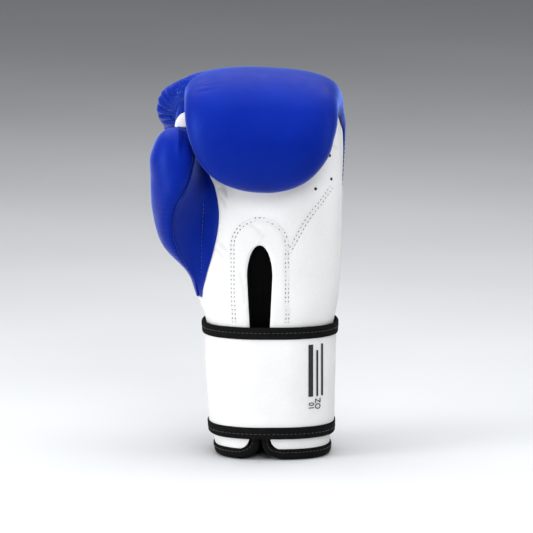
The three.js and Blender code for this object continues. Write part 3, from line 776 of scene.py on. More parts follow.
def mitt_piece():
    rows = even(lambda s: mitt(s, 90.0), 0, 9.998, 1.35)
    s, share = table(rows, np.linspace(0, 1, 190))
    low, high = SHELL_EDGES(s)
    a = low + (high - low) * share
    fold, reach = pleats(s, a)
    points = mitt(s, a, mitt_out(s, a))
    # Painted shade in the valleys of the gathers.
    grime_and_shade = 0.6 * reach * (1 - fold / np.maximum(reach, 0.01)) ** 2.5
    piece = sheet("mitt_shell", points, BLUE, grime_and_shade=np.clip(grime_and_shade, 0, 1))
    place(piece, ROLL_BEND, ["back_shell", "finger_shell"], 0.9)

    rows = even(lambda s: mitt(s, 270.0), ROLL_OPEN, 9.996, 1.6)
    s, a = table(rows, even(lambda t: mitt(8.0, t), 209.5, 330.5, 1.6))
    points = mitt(s, a, 0.12 * ripple(mitt(s, a), 18, 3))
    piece = sheet("finger_underside_skin", points, BLUE)
    place(piece, "fingers", ["finger_underside"])

    # The shell's edges are sewn to the side walls.
    surface = lambda a, s: mitt(s, a, mitt_out(s, a))
    stretch = np.linspace(0.8, 4.2, 18)
    low, high = SHELL_EDGES(stretch)
    lines = [list(zip(low + 2.5, stretch)), list(zip(high - 2.5, stretch))]
    piece = stitches("mitt_edge_stitches", lines, surface, BLUE_THREAD, 3.6, 2.8, 0.3)
    place(piece, "hand")


def gusset_leathers():
    """The white gussets between the walls and the shell; the little-finger one shows as a wedge."""
    for name, side, top in (("pinky_gusset_leather", 0, 5.2), ("index_gusset_leather", 1, 4.5)):
        rows = even(lambda s: mitt(s, -30.0), 0.02, top, 1.3)
        s, share = table(rows, np.linspace(0, 1, 44))
        edge_angle = SHELL_EDGES(s)[side] + (0.6 if side else -0.6)
        inner_angle = 268 if side else -88
        a = edge_angle + (inner_angle - edge_angle) * (share if side else 1 - share)
        edge = np.abs(edge_angle - a) * 0.9
        out = 0.12 * ripple(mitt(s, a), 34, 33) - 0.7 * bump(edge, 0, 1.4)
        # Grime and painted shade along the edge that tucks under the shell.
        grime_and_shade = 0.25 * bump(edge, 0, 1.6)
        piece = sheet(name, mitt(s, a, out), WHITE, 1.2, 0.3, grime_and_shade)
        place(piece, "hand")


# ---------------------------------------------------------------- thumb

# Height and x of the thumb's front seam, and of the edge where its web meets the palm.
THUMB_SEAM = track([
    (118, -52.6), (134.8, -56.4), (150, -63.9), (160, -68.2), (171, -70.7), (182, -70.2), (192, -67.7),
    (203, -61.7), (212, -58), (220, -56), (228, -54.3), (238, -53), (248, -52.5),
])
WEB_EDGE = track([
    (118, -50.5), (126.5, -49.8), (138, -46.8), (155, -42.1), (173, -38.7), (188, -38.2),
    (203, -40.9), (212.6, -45.5), (224, -48), (236, -49), (248, -49.5),
])


def thumb_start(z):
    """The angle at which the thumb's leather leaves the side of the hand, for each height."""
    angles = np.arange(40.0, 185.0, 1.0)
    rows, turns = table(z, angles)
    points = thumb(rows, turns)
    inside = (in_hand(points, 0.2) | in_mitt(points, 0.2)).reshape(rows.shape)
    first = np.where(inside.any(axis=1), inside.shape[1] - np.argmax(inside[:, ::-1], axis=1), 20)
    found = angles[np.minimum(first, len(angles) - 1)]
    # Smooth the row-to-row steps of the search.
    padded = np.concatenate([[found[0]] * 4, found, [found[-1]] * 4])
    return np.convolve(padded, np.ones(9) / 9, "valid")


def thumb_piece():
    z = even(lambda h: thumb(h, 180.0), THUMB_BOTTOM, THUMB_TOP - 0.04, 1.2)
    seam_x = THUMB_SEAM(z)[0]
    last = thumb_angle(z, seam_x)
    share = np.linspace(0, 1, 110)
    rows, t = table(z, share)
    angle = between(thumb_start(z)[:, None], last[:, None], t)
    base = thumb(rows, angle)
    step = np.linalg.norm(np.diff(base, axis=1), axis=2)
    from_seam = np.concatenate([np.cumsum(step[:, ::-1], axis=1)[:, ::-1], np.zeros((len(z), 1))], axis=1)
    along = lengths(base[:, -1])[:, None]
    puckers = np.sin(along * (2 * math.pi / 3.7) + 1.5 * np.sin(along / 9)) * np.exp(-from_seam / 7.5)
    low = smoothstep(rows, 122, 150)
    tip = 1 - smoothstep(rows, 232, 246)
    out = 0.35 + 0.9 * bump(from_seam, 9, 7) * low * tip - 1.9 * bump(from_seam, 0, 2.0) * low
    out = out + 0.42 * puckers * low * tip + 0.3 * ripple(base, 50, 7) + 0.07 * ripple(base, 15, 8)
    # A short ridge where the tip's leather folds over, beside the tab.
    across = base[..., 0] + 66.6
    ridge = (bump(across, 0, 1.9) - 0.5 * smoothstep(across, 0.5, 5.0)) * smoothstep(rows, 222, 243)
    out = out - 1.5 * smoothstep(rows, 222, 236) + 1.3 * ridge * (np.sin(np.radians(angle)) < 0)
    points = thumb(rows, angle, out)
    points = pushed(points, lambda p: in_mitt(p, 0.3), (-1, 0, 0))
    # Grime and painted shade in the sunk front seam.
    grime_and_shade = 0.8 * bump(from_seam, 0, 1.3) * low
    piece = sheet("thumb_outer_leather", points, BLUE, grime_and_shade=grime_and_shade)
    place(piece, THUMB_BEND, ["thumb_outer_shell"], 0.9)


def web(z, t, deep=0.0):
    """The thumb's inner panel, from its seam (t = 0) to the palm (t = 1)."""
    z, t = np.broadcast_arrays(z, t)
    xs, xe = THUMB_SEAM(z)[0], WEB_EDGE(z)[0]
    ys = thumb(z, thumb_angle(z, xs))[..., 1] + 1.2
    ye = hand(z, hand_angle(z, xe))[..., 1] - 1.0
    x = xs + (xe - xs) * t
    hollow = 10.5 * smoothstep(z, 118, 185) * (1 - 0.5 * smoothstep(z, 224, 246))
    bow = (t**1.15 * (1 - t) ** 0.85) / 0.5
    near = 1.3 * bump(t * (xe - xs), 0, 3.5) * smoothstep(z, 122, 150)
    y = ys + (ye - ys) * t + hollow * bow - near + deep
    return np.stack([x, y, z.astype(float)], -1)


def web_piece():
    rows, t = table(np.linspace(119.3, THUMB_TOP - 0.2, 124), np.linspace(0, 1, 44))
    base = web(rows, t)
    middle = 4 * t * (1 - t)
    folds = 0.85 * ripple(base * [1.4, 1, 0.8], 30, 11) + 0.2 * ripple(base, 12, 12)
    stitch = np.abs(t - 0.66) * (WEB_EDGE(rows)[0] - THUMB_SEAM(rows)[0])
    sewn = smoothstep(rows, 134, 146) * (1 - smoothstep(rows, 184, 196))
    base[..., 1] += folds * middle + 0.55 * bump(stitch, 0, 1.3) * sewn
    ridge = np.sin(rows / 1.9) * 0.12 * bump(stitch, 0, 4) * sewn
    base[..., 1] += ridge
    points = pushed(base, lambda p: in_mitt(p, 0.4), (0, 1, 0))
    # Grime and painted shade along the seam and the stitch line.
    grime_and_shade = 0.5 * bump(t * 30, 0, 1.2) + 0.4 * bump(stitch, 0, 0.7) * sewn
    # Painted shade of the pad over the middle of the pocket.
    grime_and_shade = grime_and_shade + 0.3 * bump(t, 0.68, 0.34) * smoothstep(rows, 165, 205)
    piece = sheet("thumb_web_leather", points, BLUE, 1.2, 0.25, grime_and_shade=grime_and_shade)
    place(piece, WEB_BEND, ["thumb_inner_shell"])

    def surface(u, v):
        return web(v, u / 40.0, -0.1)

    line = [(26.4, 138), (26.4, 165), (26.4, 192)]
    piece = stitches("thumb_web_stitches", [line], surface, BLUE_THREAD, 3.0, 2.3, 0.28, -0.2)
    place(piece, WEB_BEND)


def thumb_foam_piece():
    """Foam that fills the thumb behind its two leathers."""
    z = np.linspace(122, 222, 52)
    first, last = thumb_start(z), thumb_angle(z, THUMB_SEAM(z)[0])
    rows, t = table(z, np.linspace(0, 1, 26))
    skin = thumb(rows, between(first[:, None], last[:, None], t), -2.2)
    rows, t = table(z, np.linspace(0.08, 0.95, 12))
    front = web(rows, t, 2.6)
    rings = np.concatenate([skin, front], axis=1)
    centre = rings.mean(axis=1, keepdims=True)
    rings = centre + (rings - centre) * 0.97
    rings = pushed(rings, lambda p: in_mitt(p, 2.5), (-1, 0, 0))
    piece = tube("thumb_padding", rings, FOAM)
    place(piece, THUMB_BEND, ["thumb_foam"], 0.95)


def tab_piece():
    """The small quarter-round tab that ties the thumb to the mitt, and its stitches."""
    corner = np.array([-60.5, -17.2, 245.6])
    r, turn = table(np.linspace(0, 1, 14), np.radians(np.linspace(90, 180, 25)))
    wide, tall = 9.0, 10.4
    x = corner[0] + wide * r * np.cos(turn)
    z = corner[2] + tall * r * np.sin(turn)
    lean = 0.25
    y = corner[1] + lean * (z - corner[2]) - 0.9 * (1 - r**2)
    points = np.stack([x, y, z], -1)
    piece = hide("thumb_tab_leather", points, grid_quads(*r.shape), WHITE, 1.4, 0.3)
    place(piece, "hand", ["thumb_tab"])

    def surface(u, v):
        return np.stack([u, corner[1] + lean * (v - corner[2]) - 0.75 + 0 * u, v], -1)

    rows = ((-65.6, 249.4, 251.5), (-63.8, 249.2, 253.6), (-62.3, 249.6, 252.6))
    lines = [[(x, low), (x, high)] for x, low, high in rows]
    # The tab's stitches show as dark marks of painted shade in their needle holes.
    piece = stitches("thumb_tab_stitches", lines, surface, NEEDLE_HOLE_SHADE, 1.7, 1.2, 0.3)
    place(piece, "hand", slot="white_leather")


# ---------------------------------------------------------------- the slit and the palm


def slit_table():
    """Heights and half widths of the wrist slit, from its flared foot to the top of its arch."""
    t = np.linspace(0, 1, 40)
    foot_z = (1 - t) ** 2 * 20 + 2 * (1 - t) * t * (BINDING_H + 1) + t**2 * BINDING_H
    foot_d = (1 - t**2) * SLIT_WAIST + t**2 * (SLIT_WAIST + 8.5)
    b0, b1, b2, b3 = (1 - t) ** 3, 3 * (1 - t) ** 2 * t, 3 * (1 - t) * t**2, t**3
    arch_z = b0 * SLIT_WIDEST_Z + b1 * 150 + b2 * SLIT_TOP + b3 * SLIT_TOP
    arch_d = b0 * SLIT_HALF + b1 * SLIT_HALF + b2 * 5.5
    z = np.concatenate([foot_z[::-1], [96], arch_z])
    d = np.concatenate([foot_d[::-1], [SLIT_WAIST], arch_d])
    return z, d


SLIT_Z, SLIT_D = slit_table()


def slit_half(z):
    return np.interp(z, SLIT_Z, SLIT_D)


def split_grid(rows, first, last, columns):
    """Angles of a panel that the slit splits, and faces that leave the slit open."""
    half = slit_half(rows) * (rows < SLIT_TOP)
    left, right = hand_angle(rows, SLIT_X - half), hand_angle(rows, SLIT_X + half)
    share = np.linspace(0, 1, columns)[None, :]
    first, last = np.broadcast_to(first, rows.shape), np.broadcast_to(last, rows.shape)
    a = between(first[:, None], left[:, None], share)
    b = between(right[:, None], last[:, None], share)
    angles = np.concatenate([a, b], axis=1)
    faces = grid_quads(len(rows), 2 * columns)
    faces = faces[faces[:, 0] % (2 * columns) != columns - 1]
    shut = np.arange(len(rows))[half <= 0] * 2 * columns + columns
    index = np.arange(angles.size)
    index[shut] = shut - 1
    return angles, index[faces]


ARCH_CENTRE_Z = 160.4
PALM_LOWEST = 98.9  # the palm laps a little over the cuff, behind the top edge of the strap
ARCH_LINES = []
for radius in (21.0, 18.8):
    bend = np.radians(np.linspace(180, 0, 25))
    arch = [(SLIT_X + radius * math.cos(b), ARCH_CENTRE_Z + radius * math.sin(b)) for b in bend]
    left, right = SLIT_X - radius, SLIT_X + radius
    ARCH_LINES.append([(left + 1.2, 103), (left, 128), *arch, (right, 128), (right + 0.4, 103)])
DIAGONAL = [(13.3, 157), (18.2, 166), (24.9, 178), (31.2, 186.5), (35.9, 191.5), (44.2, 202)]
DIAGONAL_2 = [(x + 1.9, z - 1.5) for x, z in DIAGONAL]
CREASES = [
    ([(-41, 164.5), (-36.5, 162.2), (-31, 157)], 0.55, 1.2),
    ([(-43, 158), (-38.5, 156), (-34, 151.5)], 0.35, 1.3),
    ([(-39, 208), (-34.5, 205.5), (-31.5, 201.5)], 0.5, 1.2),
    ([(-37.5, 203), (-33.6, 201.8), (-31, 197.8)], 0.4, 1.1),
    ([(-36.5, 196), (-33.5, 193), (-32.5, 189)], 0.3, 1.3),
    ([(-46, 134), (-41, 131.5), (-36, 130.5)], 0.25, 1.6),
    ([(44.5, 232.5), (47.5, 229.5), (50.5, 229)], 0.35, 0.9),
    ([(-14, 176), (-9, 172.5), (-5, 167)], 0.2, 2.0),
    ([(-22, 140), (-19.5, 128), (-19, 118)], 0.25, 2.2),
]


def palm_out(z, angle):
    """Relief of the palm leather: sewn grooves, creases, soft foam and the rolled slit edge."""
    base = hand(z, angle)
    x = base[..., 0]
    out = 0.2 * ripple(base, 52, 21) + 0.07 * ripple(base, 15, 22)
    for line in (*ARCH_LINES, DIAGONAL, DIAGONAL_2):
        out = out - 0.4 * bump(line_distance(line, x, z), 0, 0.85)
    clear_of_web = smoothstep(x - WEB_EDGE(z)[0], 0.8, 4.0)
    for line, depth, width in CREASES:
        d = line_distance(line, x, z)
        depth = depth * clear_of_web
        out = out - depth * bump(d, 0, width) + 0.5 * depth * bump(d, 2.2 * width, width)
    within = np.hypot((x - SLIT_X) / 21, np.maximum(z - ARCH_CENTRE_Z, 0) / 21)
    out = out + 0.5 * smoothstep(within, 1.12, 0.9)
    edge = np.abs(x - SLIT_X) - slit_half(np.minimum(z, SLIT_TOP - 0.01)) * (z < SLIT_TOP)
    beside = np.maximum(edge, 0) * (z < SLIT_TOP) + (z >= SLIT_TOP) * np.abs(x - SLIT_X)
    over = np.hypot(beside, np.maximum(z - SLIT_TOP, 0))
    out = out - 0.9 * bump(over, 0, 1.1)
    return out


def palm_surface(x, z):
    angle = hand_angle(z, x)
    return hand(z, angle, palm_out(z, angle))


MOUTH_X, MOUTH_Y, MOUTH_Z = -38, -19, 162
MOUTH_HALF = (11, 17)


def in_mouth(points):
    """The way from the hand's space into the thumb."""
    y, z = (points[:, 1] - MOUTH_Y) / MOUTH_HALF[0], (points[:, 2] - MOUTH_Z) / MOUTH_HALF[1]
    return (y**2 + z**2 < 1) & (points[:, 0] < MOUTH_X)


def palm_piece():
    arch = SLIT_WIDEST_Z + (SLIT_TOP - SLIT_WIDEST_Z) * np.sin(np.linspace(0, math.pi / 2, 20))
    z = np.concatenate([np.arange(PALM_LOWEST, 137, 1.5), arch, np.arange(163.4, 253, 1.5)])
    tuck = hand_angle(z, WEB_EDGE(z)[0] - 1.0)
    first = np.maximum(196, tuck)
    angles, faces = split_grid(z, first, 344.0, 62)
    rows = np.broadcast_to(z[:, None], angles.shape)
    points = hand(rows, angles, palm_out(rows, angles))
    points = pushed(points, lambda p: in_mitt(p, 0.5), (0, 1, 0))
    x = points[..., 0]
    stitched = min_distance((*ARCH_LINES, DIAGONAL, DIAGONAL_2), x, rows)
    creased = min_distance([c[0] for c in CREASES], x, rows)
    # Grime and painted shade along the stitched grooves, painted shade in the creases.
    grime_and_shade = 0.1 * bump(stitched, 0, 1.6) + 0.22 * bump(creased, 0, 1.0)
    # Painted shade where the palm tucks under the web's edge.
    under_web = x - WEB_EDGE(rows)[0]
    grime_and_shade = grime_and_shade + 0.4 * bump(under_web, 0, 1.2) * (rows > 118)
    faces, points, grime_and_shade = compact(faces, points.reshape(-1, 3), np.clip(grime_and_shade, 0, 1).ravel())
    piece = hide("palm_leather", points, faces, WHITE, grime_and_shade=grime_and_shade)
    place(piece, "hand", ["palm_panel"])

    lines = [*ARCH_LINES, DIAGONAL, DIAGONAL_2]
    piece = stitches("palm_stitches", lines, palm_surface, WHITE_THREAD, 3.2, 1.9, 0.28, -0.02)
    place(piece, "hand")
    # Dark marks of painted shade in the needle holes beside the stitches.
    piece = dots("palm_needle_holes", lines, palm_surface, NEEDLE_HOLE_SHADE, 3.2, 0.6, 0.12)
    place(piece, "hand")
    # The air holes as dark discs: the black lining seen through them, and painted shade in them.
    vents = [[(x, z), (x, z + 0.01)] for x, z in VENTS]
    piece = dots("palm_air_holes", vents, palm_surface, INK_AND_HOLE_SHADE, 5, 1.25, 0.12)
    place(piece, "hand")


def min_distance(lines, u, v):
    return np.min([line_distance(line, u, v) for line in lines], axis=0)


WALL_LAP = 1.2  # how far the walls run on into the mitt


def side_pieces():
    """The white walls between the palm and the mitt."""
    for name, material, node, bottom, top, low, high in (
        ("pinky_side_leather", WHITE, ["pinky_side_panel"], PALM_LOWEST, 261.5, 344.3, 436.0),
        ("index_side_leather", WHITE, ["index_side_panel"], PALM_LOWEST, 242, 104.0, 195.8),
        ("index_gather_leather", BLUE, [], 241.8, 261.5, 104.0, 232.0),
        ("thumb_root_leather", BLUE, [], 206.0, 243.0, 194.5, 232.0),
    ):
        rows, angles = table(np.arange(bottom, top, 1.4), np.linspace(low, high, 56))
        base = hand(rows, angles)
        edge = np.minimum(angles - low, high - angles)
        out = 0.15 * ripple(base, 30, 31) - 0.5 * bump(edge, 0, 1.0)
        points = hand(rows, angles, out)
        gone = lambda p: in_mitt(p, -WALL_LAP) | in_mouth(p)
        faces, points = kept(points, grid_quads(*rows.shape), gone)
        place(hide(name, points, faces, material), "hand", node)


def gusset_piece():
    """Ribbed elastic behind the slit."""
    rows, across = table(np.linspace(13.6, 170, 70), np.linspace(-16, 16, 151))
    ribs = 0.4 * np.abs(np.sin(across * math.pi / 2.3)) ** 0.7
    stretch = 1 + 0.02 * np.sin(rows / 9)
    angle = hand_angle(rows, SLIT_X + across * stretch)
    points = hand(rows, angle, BINDING_IN - 0.85 + ribs)
    # Painted shade in the valleys between the ribs.
    grime_and_shade = 0.8 * (1 - ribs / 0.4)
    piece = sheet("slit_elastic", points, ELASTIC, 0.9, 0.15, grime_and_shade)
    place(piece, "hand", ["slit_elastic_gusset"])


def slit_edge_piece():
    """Cloth that covers the cut edges of the leather and the foam all round the slit."""
    keep = SLIT_Z > 15
    z, half = SLIT_Z[keep], SLIT_D[keep]
    z = np.concatenate([z, z[-2::-1]])
    side = np.concatenate([-half, half[-2::-1]])
    turn = hand_angle(z, SLIT_X + side)
    depth = np.linspace(-0.7, BINDING_IN, 8)
    points = hand(z[:, None], turn[:, None], depth[None, :])
    place(sheet("slit_edge_cloth", points, ELASTIC, 0.4, 0), "hand")


# ---------------------------------------------------------------- cuff


def cuff_pieces():
    z = np.concatenate([np.linspace(8.0, 26, 14), np.linspace(30, PALM_LOWEST - 0.3, 34)])
    half = slit_half(z)
    left, right = hand_angle(z, SLIT_X - half), hand_angle(z, SLIT_X + half)
    for name, node, first, last in (
        ("cuff_thumb_side_leather", "cuff_flap_thumb_side", np.full(len(z), 160.7), left),
        ("cuff_pinky_side_leather", "cuff_flap_pinky_side", right, np.full(len(z), 379.3)),
    ):
        rows, share = table(z, np.linspace(0, 1, 70))
        angles = between(first[:, None], last[:, None], share)
        base = hand(rows, angles)
        out = 0.1 * ripple(base, 30, 41) - 0.15
        place(sheet(name, hand(rows, angles, out), WHITE), "hand", [node])
    rows, angles = table(z, np.linspace(19.8, 160.2, 110))
    out = 0.1 * ripple(hand(rows, angles), 30, 42) - 0.15
    piece = sheet("cuff_back_leather", hand(rows, angles, out), WHITE)
    place(piece, "hand", ["cuff_back_panel"])

    rows, share = table(z, np.linspace(0, 1, 200))
    back = 2.2  # degrees that the padding ends short of the slit
    angles = between(right[:, None] + back, left[:, None] + 360 - back, share)
    outer = -LEATHER - GAP
    points = hand(rows, angles, outer + 0.1 * ripple(hand(rows, angles), 12, 43))
    piece = sheet("cuff_padding", points, FOAM, CUFF_FOAM, 0.8)
    place(piece, "hand", ["cuff_foam"], 0.7)
    inner = outer - CUFF_FOAM - GAP
    points = hand(rows, angles, inner + 0.12 * ripple(hand(rows, angles), 20, 44))
    piece = sheet("cuff_lining_cloth", points, LINING_CLOTH, LINING, 0.2)
    place(piece, "hand", ["cuff_lining"])

    rows, angles = table(np.linspace(16, 40, 20), np.linspace(78, 102, 26))
    curl = 0.5 * smoothstep(rows, 30, 40)
    depth = inner - LINING - GAP - 0.15 - curl
    piece = sheet("size_label_cloth", hand(rows, angles, depth), LABEL, 0.5, 0.12)
    place(piece, "hand", ["size_label"])


# Where the rim tape's middle runs beside the slit: distance from the slit's centre line, and height.
TAPE_TURN = [(3.5, 46), (3.5, 30), (3.5, 16), (4.1, 10.6), (7, 6.4), (14.5, BINDING_H / 2)]
TAPE_UPRIGHT = 6.2  # width of the tape where it stands up in the slit


def rim_route():
    """Angle and height along the rim tape: up both edges of the slit and round the wrist."""
    turn = [[(float(hand_angle(z, SLIT_X + side * d)), z) for d, z in TAPE_TURN] for side in (-1, 1)]
    left, right = turn
    right = [(a - 360, z) for a, z in right][::-1]
    ring = [(a, 3.8) for a in np.linspace(left[-1][0], right[0][0], 60)[1:-1]]
    route = np.array([*left, *ring, *right])
    for _ in range(3):
        near, far = route[:-1] * 0.75 + route[1:] * 0.25, route[:-1] * 0.25 + route[1:] * 0.75
        cut = np.stack([near, far], 1).reshape(-1, 2)
        route = np.concatenate([route[:1], cut, route[-1:]])
    length = lengths(route * [0.8, 1])  # 0.8 mm to a degree
    wanted = np.linspace(0, length[-1], 330)
    return np.stack([np.interp(wanted, length, route[:, k]) for k in (0, 1)], -1)


def rim_tape_piece():
    route = rim_route()
    a, z = route[:, 0], route[:, 1]
    scale = np.linalg.norm(hand(z, a + 0.5) - hand(z, a - 0.5), axis=1)
    along = unit(np.stack([np.gradient(a) * scale, np.gradient(z)], -1))
    upright = np.abs(along[:, 1])
    half = (BINDING_H * (1 - upright) + TAPE_UPRIGHT * upright) / 2
    proud = BINDING_OUT + (-GAP - BINDING_OUT) * smoothstep(z, 7.6, 13)

    # Across the tape (-1 its upper edge, 1 the folded rim) and through it (0 inside, 1 outside).
    section = np.array([
        (-0.96, 0.02), (-1, 0.06), (-1, 0.5), (-1, 0.9), (-0.98, 0.96), (-0.9, 1.0), (-0.72, 1.0),
        (-0.6, 0.985), (-0.5, 0.95), (-0.4, 0.985), (-0.25, 1.0), (0.0, 1.0), (0.3, 0.99), (0.62, 0.95),
        (0.85, 0.86), (0.97, 0.7), (1.0, 0.5), (0.97, 0.3), (0.85, 0.13), (0.62, 0.05), (0.3, 0.01),
        (-0.2, 0.0), (-0.7, 0.0),
    ])
    across = section[None, :, 0] * half[:, None]
    out = BINDING_IN + (proud - BINDING_IN)[:, None] * section[None, :, 1]
    rows = z[:, None] + across * along[:, :1]
    angles = a[:, None] - across * along[:, 1:] / scale[:, None]
    puffs = 0.1 * ripple(hand(rows, angles, out), 9, 51)
    rings = hand(rows, angles, out + puffs * section[None, :, 1])
    rings[..., 2] = np.maximum(rings[..., 2], 0.02)
    # Painted shade in the sewn groove.
    groove = bump(section[:, 0], -0.5, 0.1) * (section[:, 1] > 0.5)
    grime_and_shade = np.broadcast_to(0.8 * groove, rings.shape[:2])
    piece = tube("rim_tape", rings[:, ::-1], TAPE, 60, grime_and_shade[:, ::-1])
    place(piece, "hand", ["cuff_rim_tape"])

    def surface(u, v):
        k = np.clip(u, 0, len(a) - 1)
        at = lambda values: np.interp(k, np.arange(len(a)), values)
        shift = v * at(half)
        height = at(z) + shift * at(along[:, 0])
        return hand(height, at(a) - shift * at(along[:, 1]) / at(scale), at(proud) + 0.02)

    line = [(u, -0.5) for u in np.linspace(2, len(a) - 3, 60)]
    flipped = lambda u, v: surface(len(a) - 1 - u, v)
    piece = stitches("rim_tape_stitches", [line], flipped, BLACK_THREAD, 3.0, 2.3, 0.28)
    place(piece, "hand")


# ---------------------------------------------------------------- strap


def along_strap(low, high, step):
    """Angles that lie evenly along the middle of the strap."""
    return even(lambda t: hand(STRAP_MIDDLE, t), low, high, step)


def strap_layer(name, material, body, nodes, rows, angles, out, thickness, relief=0.0, seed=60):
    z, a = table(np.linspace(*rows, max(int((rows[1] - rows[0]) / 1.1), 5)), angles)
    base = hand(z, a)
    edge = np.minimum(z - rows[0], rows[1] - z)
    height = out + relief * (0.8 * ripple(base * [1, 1, 0.6], 42, seed) + 0.25 * ripple(base, 13, seed + 1))
    height = height - 2.2 * relief * bump(edge, 0, 2.5)
    piece = sheet(name, hand(z, a, height), material, thickness, 0.2)
    place(piece, body, nodes)


def strap_tape(name, body, node, bottom, angles, inside):
    """Binding folded over one long edge of the strap: a flat closed section with a sewn fold."""
    top_side = bottom > STRAP_MIDDLE
    section = np.array([
        (0.0, 0.12), (0.0, 0.72), (0.03, 0.93), (0.1, 1.0), (0.22, 1.0), (0.4, 0.99), (0.5, 0.96),
        (0.55, 0.9), (0.6, 0.96), (0.7, 0.97), (0.84, 0.92), (0.94, 0.75), (1.0, 0.5), (0.97, 0.25),
        (0.88, 0.08), (0.7, 0.0), (0.3, 0.0), (0.06, 0.02),
    ])
    share = section[:, 0] if top_side else 1 - section[:, 0]
    height = inside + (STRAP_TAPE_OUT + 0.35 - inside) * section[:, 1]
    a = np.asarray(angles)[:, None]
    z = bottom + STRAP_TAPE * share[None, :]
    wobble = 0.12 * ripple(hand(z, a), 22, 71) + 0.05 * ripple(hand(z, a), 6, 72)
    rings = hand(z + 0.6 * wobble, a, height[None, :] + wobble * section[None, :, 1])
    # Painted shade in the sewn groove by the fold.
    groove = bump(section[:, 0], 0.55, 0.05) * (section[:, 1] > 0.5)
    grime_and_shade = np.broadcast_to(0.9 * groove, rings.shape[:2])
    if not top_side:
        rings, grime_and_shade = rings[:, ::-1], grime_and_shade[:, ::-1]
    piece = tube(name, rings, TAPE, 60, grime_and_shade)
    place(piece, body, [node])
    line_z = bottom + STRAP_TAPE * (0.55 if top_side else 0.45)
    surface = lambda u, v: hand(v, u, STRAP_TAPE_OUT + 0.12)
    line = [(float(t), line_z) for t in np.linspace(angles[0] + 1, angles[-1] - 1, 40)]
    piece = stitches(f"{name}_stitches", [line], surface, BLACK_THREAD, 3.2, 2.5, 0.27)
    place(piece, body)


STRAP_JOIN = 334.0  # where the front's leather ends, ahead of the bend to the free end


def strap_pieces():
    wide = (STRAP_BOTTOM + STRAP_TAPE - 1.2, STRAP_TOP - STRAP_TAPE + 1.2)
    narrow = (STRAP_BOTTOM + STRAP_TAPE + 0.5, STRAP_TOP - STRAP_TAPE - 0.5)
    for stretch, body, low, high, inside in (
        ("anchor", ANCHOR_BEND, ANCHOR_START, 186.0, STRAP_IN),
        ("front", "strap_front", 186.0, STRAP_JOIN, STRAP_IN),
        ("end", END_BEND, STRAP_JOIN, 360.0 + STRAP_END - 3.6, PEEL_IN),
    ):
        angles = along_strap(low, high, 1.3)
        nodes = [f"strap_{stretch}_face"]
        strap_layer(f"strap_{stretch}_leather", WHITE, body, nodes, wide, angles, STRAP_OUT + 0.05, 0.8, 0.22)
        for side, bottom in (("top", STRAP_TOP - STRAP_TAPE), ("bottom", STRAP_BOTTOM)):
            name = f"strap_{stretch}_{side}_binding"
            strap_tape(name, body, f"strap_{stretch}_tape_{side}", bottom, angles, inside)

    # The linings and the foam keep out of the bends.
    # Piece, material, body, CAD node, rows, first and last angle, step, outer face, thickness, relief, seed.
    front, anchor, end = (187.5, STRAP_JOIN - 1.5), (ANCHOR_START + 0.3, 170), (STRAP_JOIN, 406)
    for name, material, body, node, rows, (low, high), step, *look in (
        ("strap_front_cloth", LINING_CLOTH, "strap_front", "strap_front_backing", narrow, front, 2.5,
         0.95, 0.5, 0.05),
        ("strap_front_foam", FOAM, "strap_front", "strap_front_core", narrow, front, 2.5, 2.15, 1.1),
        ("strap_anchor_foam", FOAM, "hand", "strap_anchor_core", narrow, anchor, 2.5, 2.15, 1.1),
        ("strap_end_cloth", LINING_CLOTH, END_BEND, "strap_end_backing", narrow, end, 2.5, 1.95, 0.5),
        ("hook_tape_patch", HOOK, "strap_end", "hook_patch", narrow, (406.6, 472), 1.6, 1.98, 0.55, 0.04, 81),
        ("loop_tape_patch", LOOP, "hand", "loop_patch", (24, 92), (46, 117), 1.6, 1.0, 0.6, 0.05, 83),
    ):
        strap_layer(name, material, body, [node], rows, along_strap(low, high, step), *look)

    # The leather's turned edge at the strap's sewn root.
    z, out = table(np.linspace(wide[0], wide[1], 60), np.linspace(STRAP_OUT + 0.05, 0.3, 5))
    piece = hide("strap_root_edge", hand(z, ANCHOR_START - 0.9, out), grid_quads(*z.shape), WHITE, 0.6, 0.15)
    place(piece, "hand")

    # Tape folded over the strap's free end.
    section = np.array([
        (0.0, 0.15), (0.0, 0.75), (0.08, 1.0), (0.45, 1.0), (0.55, 0.92), (0.65, 0.98), (0.88, 0.85),
        (1.0, 0.5), (0.88, 0.12), (0.6, 0.0), (0.2, 0.0),
    ])
    z, k = table(np.linspace(STRAP_BOTTOM + 0.2, STRAP_TOP - 0.2, 70), np.arange(len(section)))
    turn = STRAP_END - 3.8 + 3.8 * section[k, 0]
    out = PEEL_IN + (STRAP_TAPE_OUT + 0.2 - PEEL_IN) * section[k, 1]
    rings = hand(z, turn, out + 0.08 * ripple(hand(z, turn), 9, 91))
    piece = tube("strap_end_binding", rings[:, ::-1], TAPE, 60)
    place(piece, "strap_end", ["strap_end_tab"])

    # Two rows of stitches hold the strap's root on the cuff, and one box holds the hooks.
    surface = lambda u, v: hand(v, u, STRAP_OUT + 0.02)
    rows = np.linspace(narrow[0] + 1, narrow[1] - 1, 12)
    lines = [[(a, z) for z in rows] for a in (ANCHOR_START + 2.5, ANCHOR_START + 6.0)]
    piece = stitches("strap_root_stitches", lines, surface, WHITE_THREAD, 3.2, 2.5, 0.3)
    place(piece, "hand")
    across = np.linspace(49, STRAP_END - 6, 20)
    lines = [[(a, z) for a in across] for z in (narrow[0] + 2, narrow[1] - 2)]
    lines.append([(49.0, z) for z in rows])
    piece = stitches("hook_box_stitches", lines, surface, WHITE_THREAD, 3.2, 2.5, 0.3)
    place(piece, "strap_end")


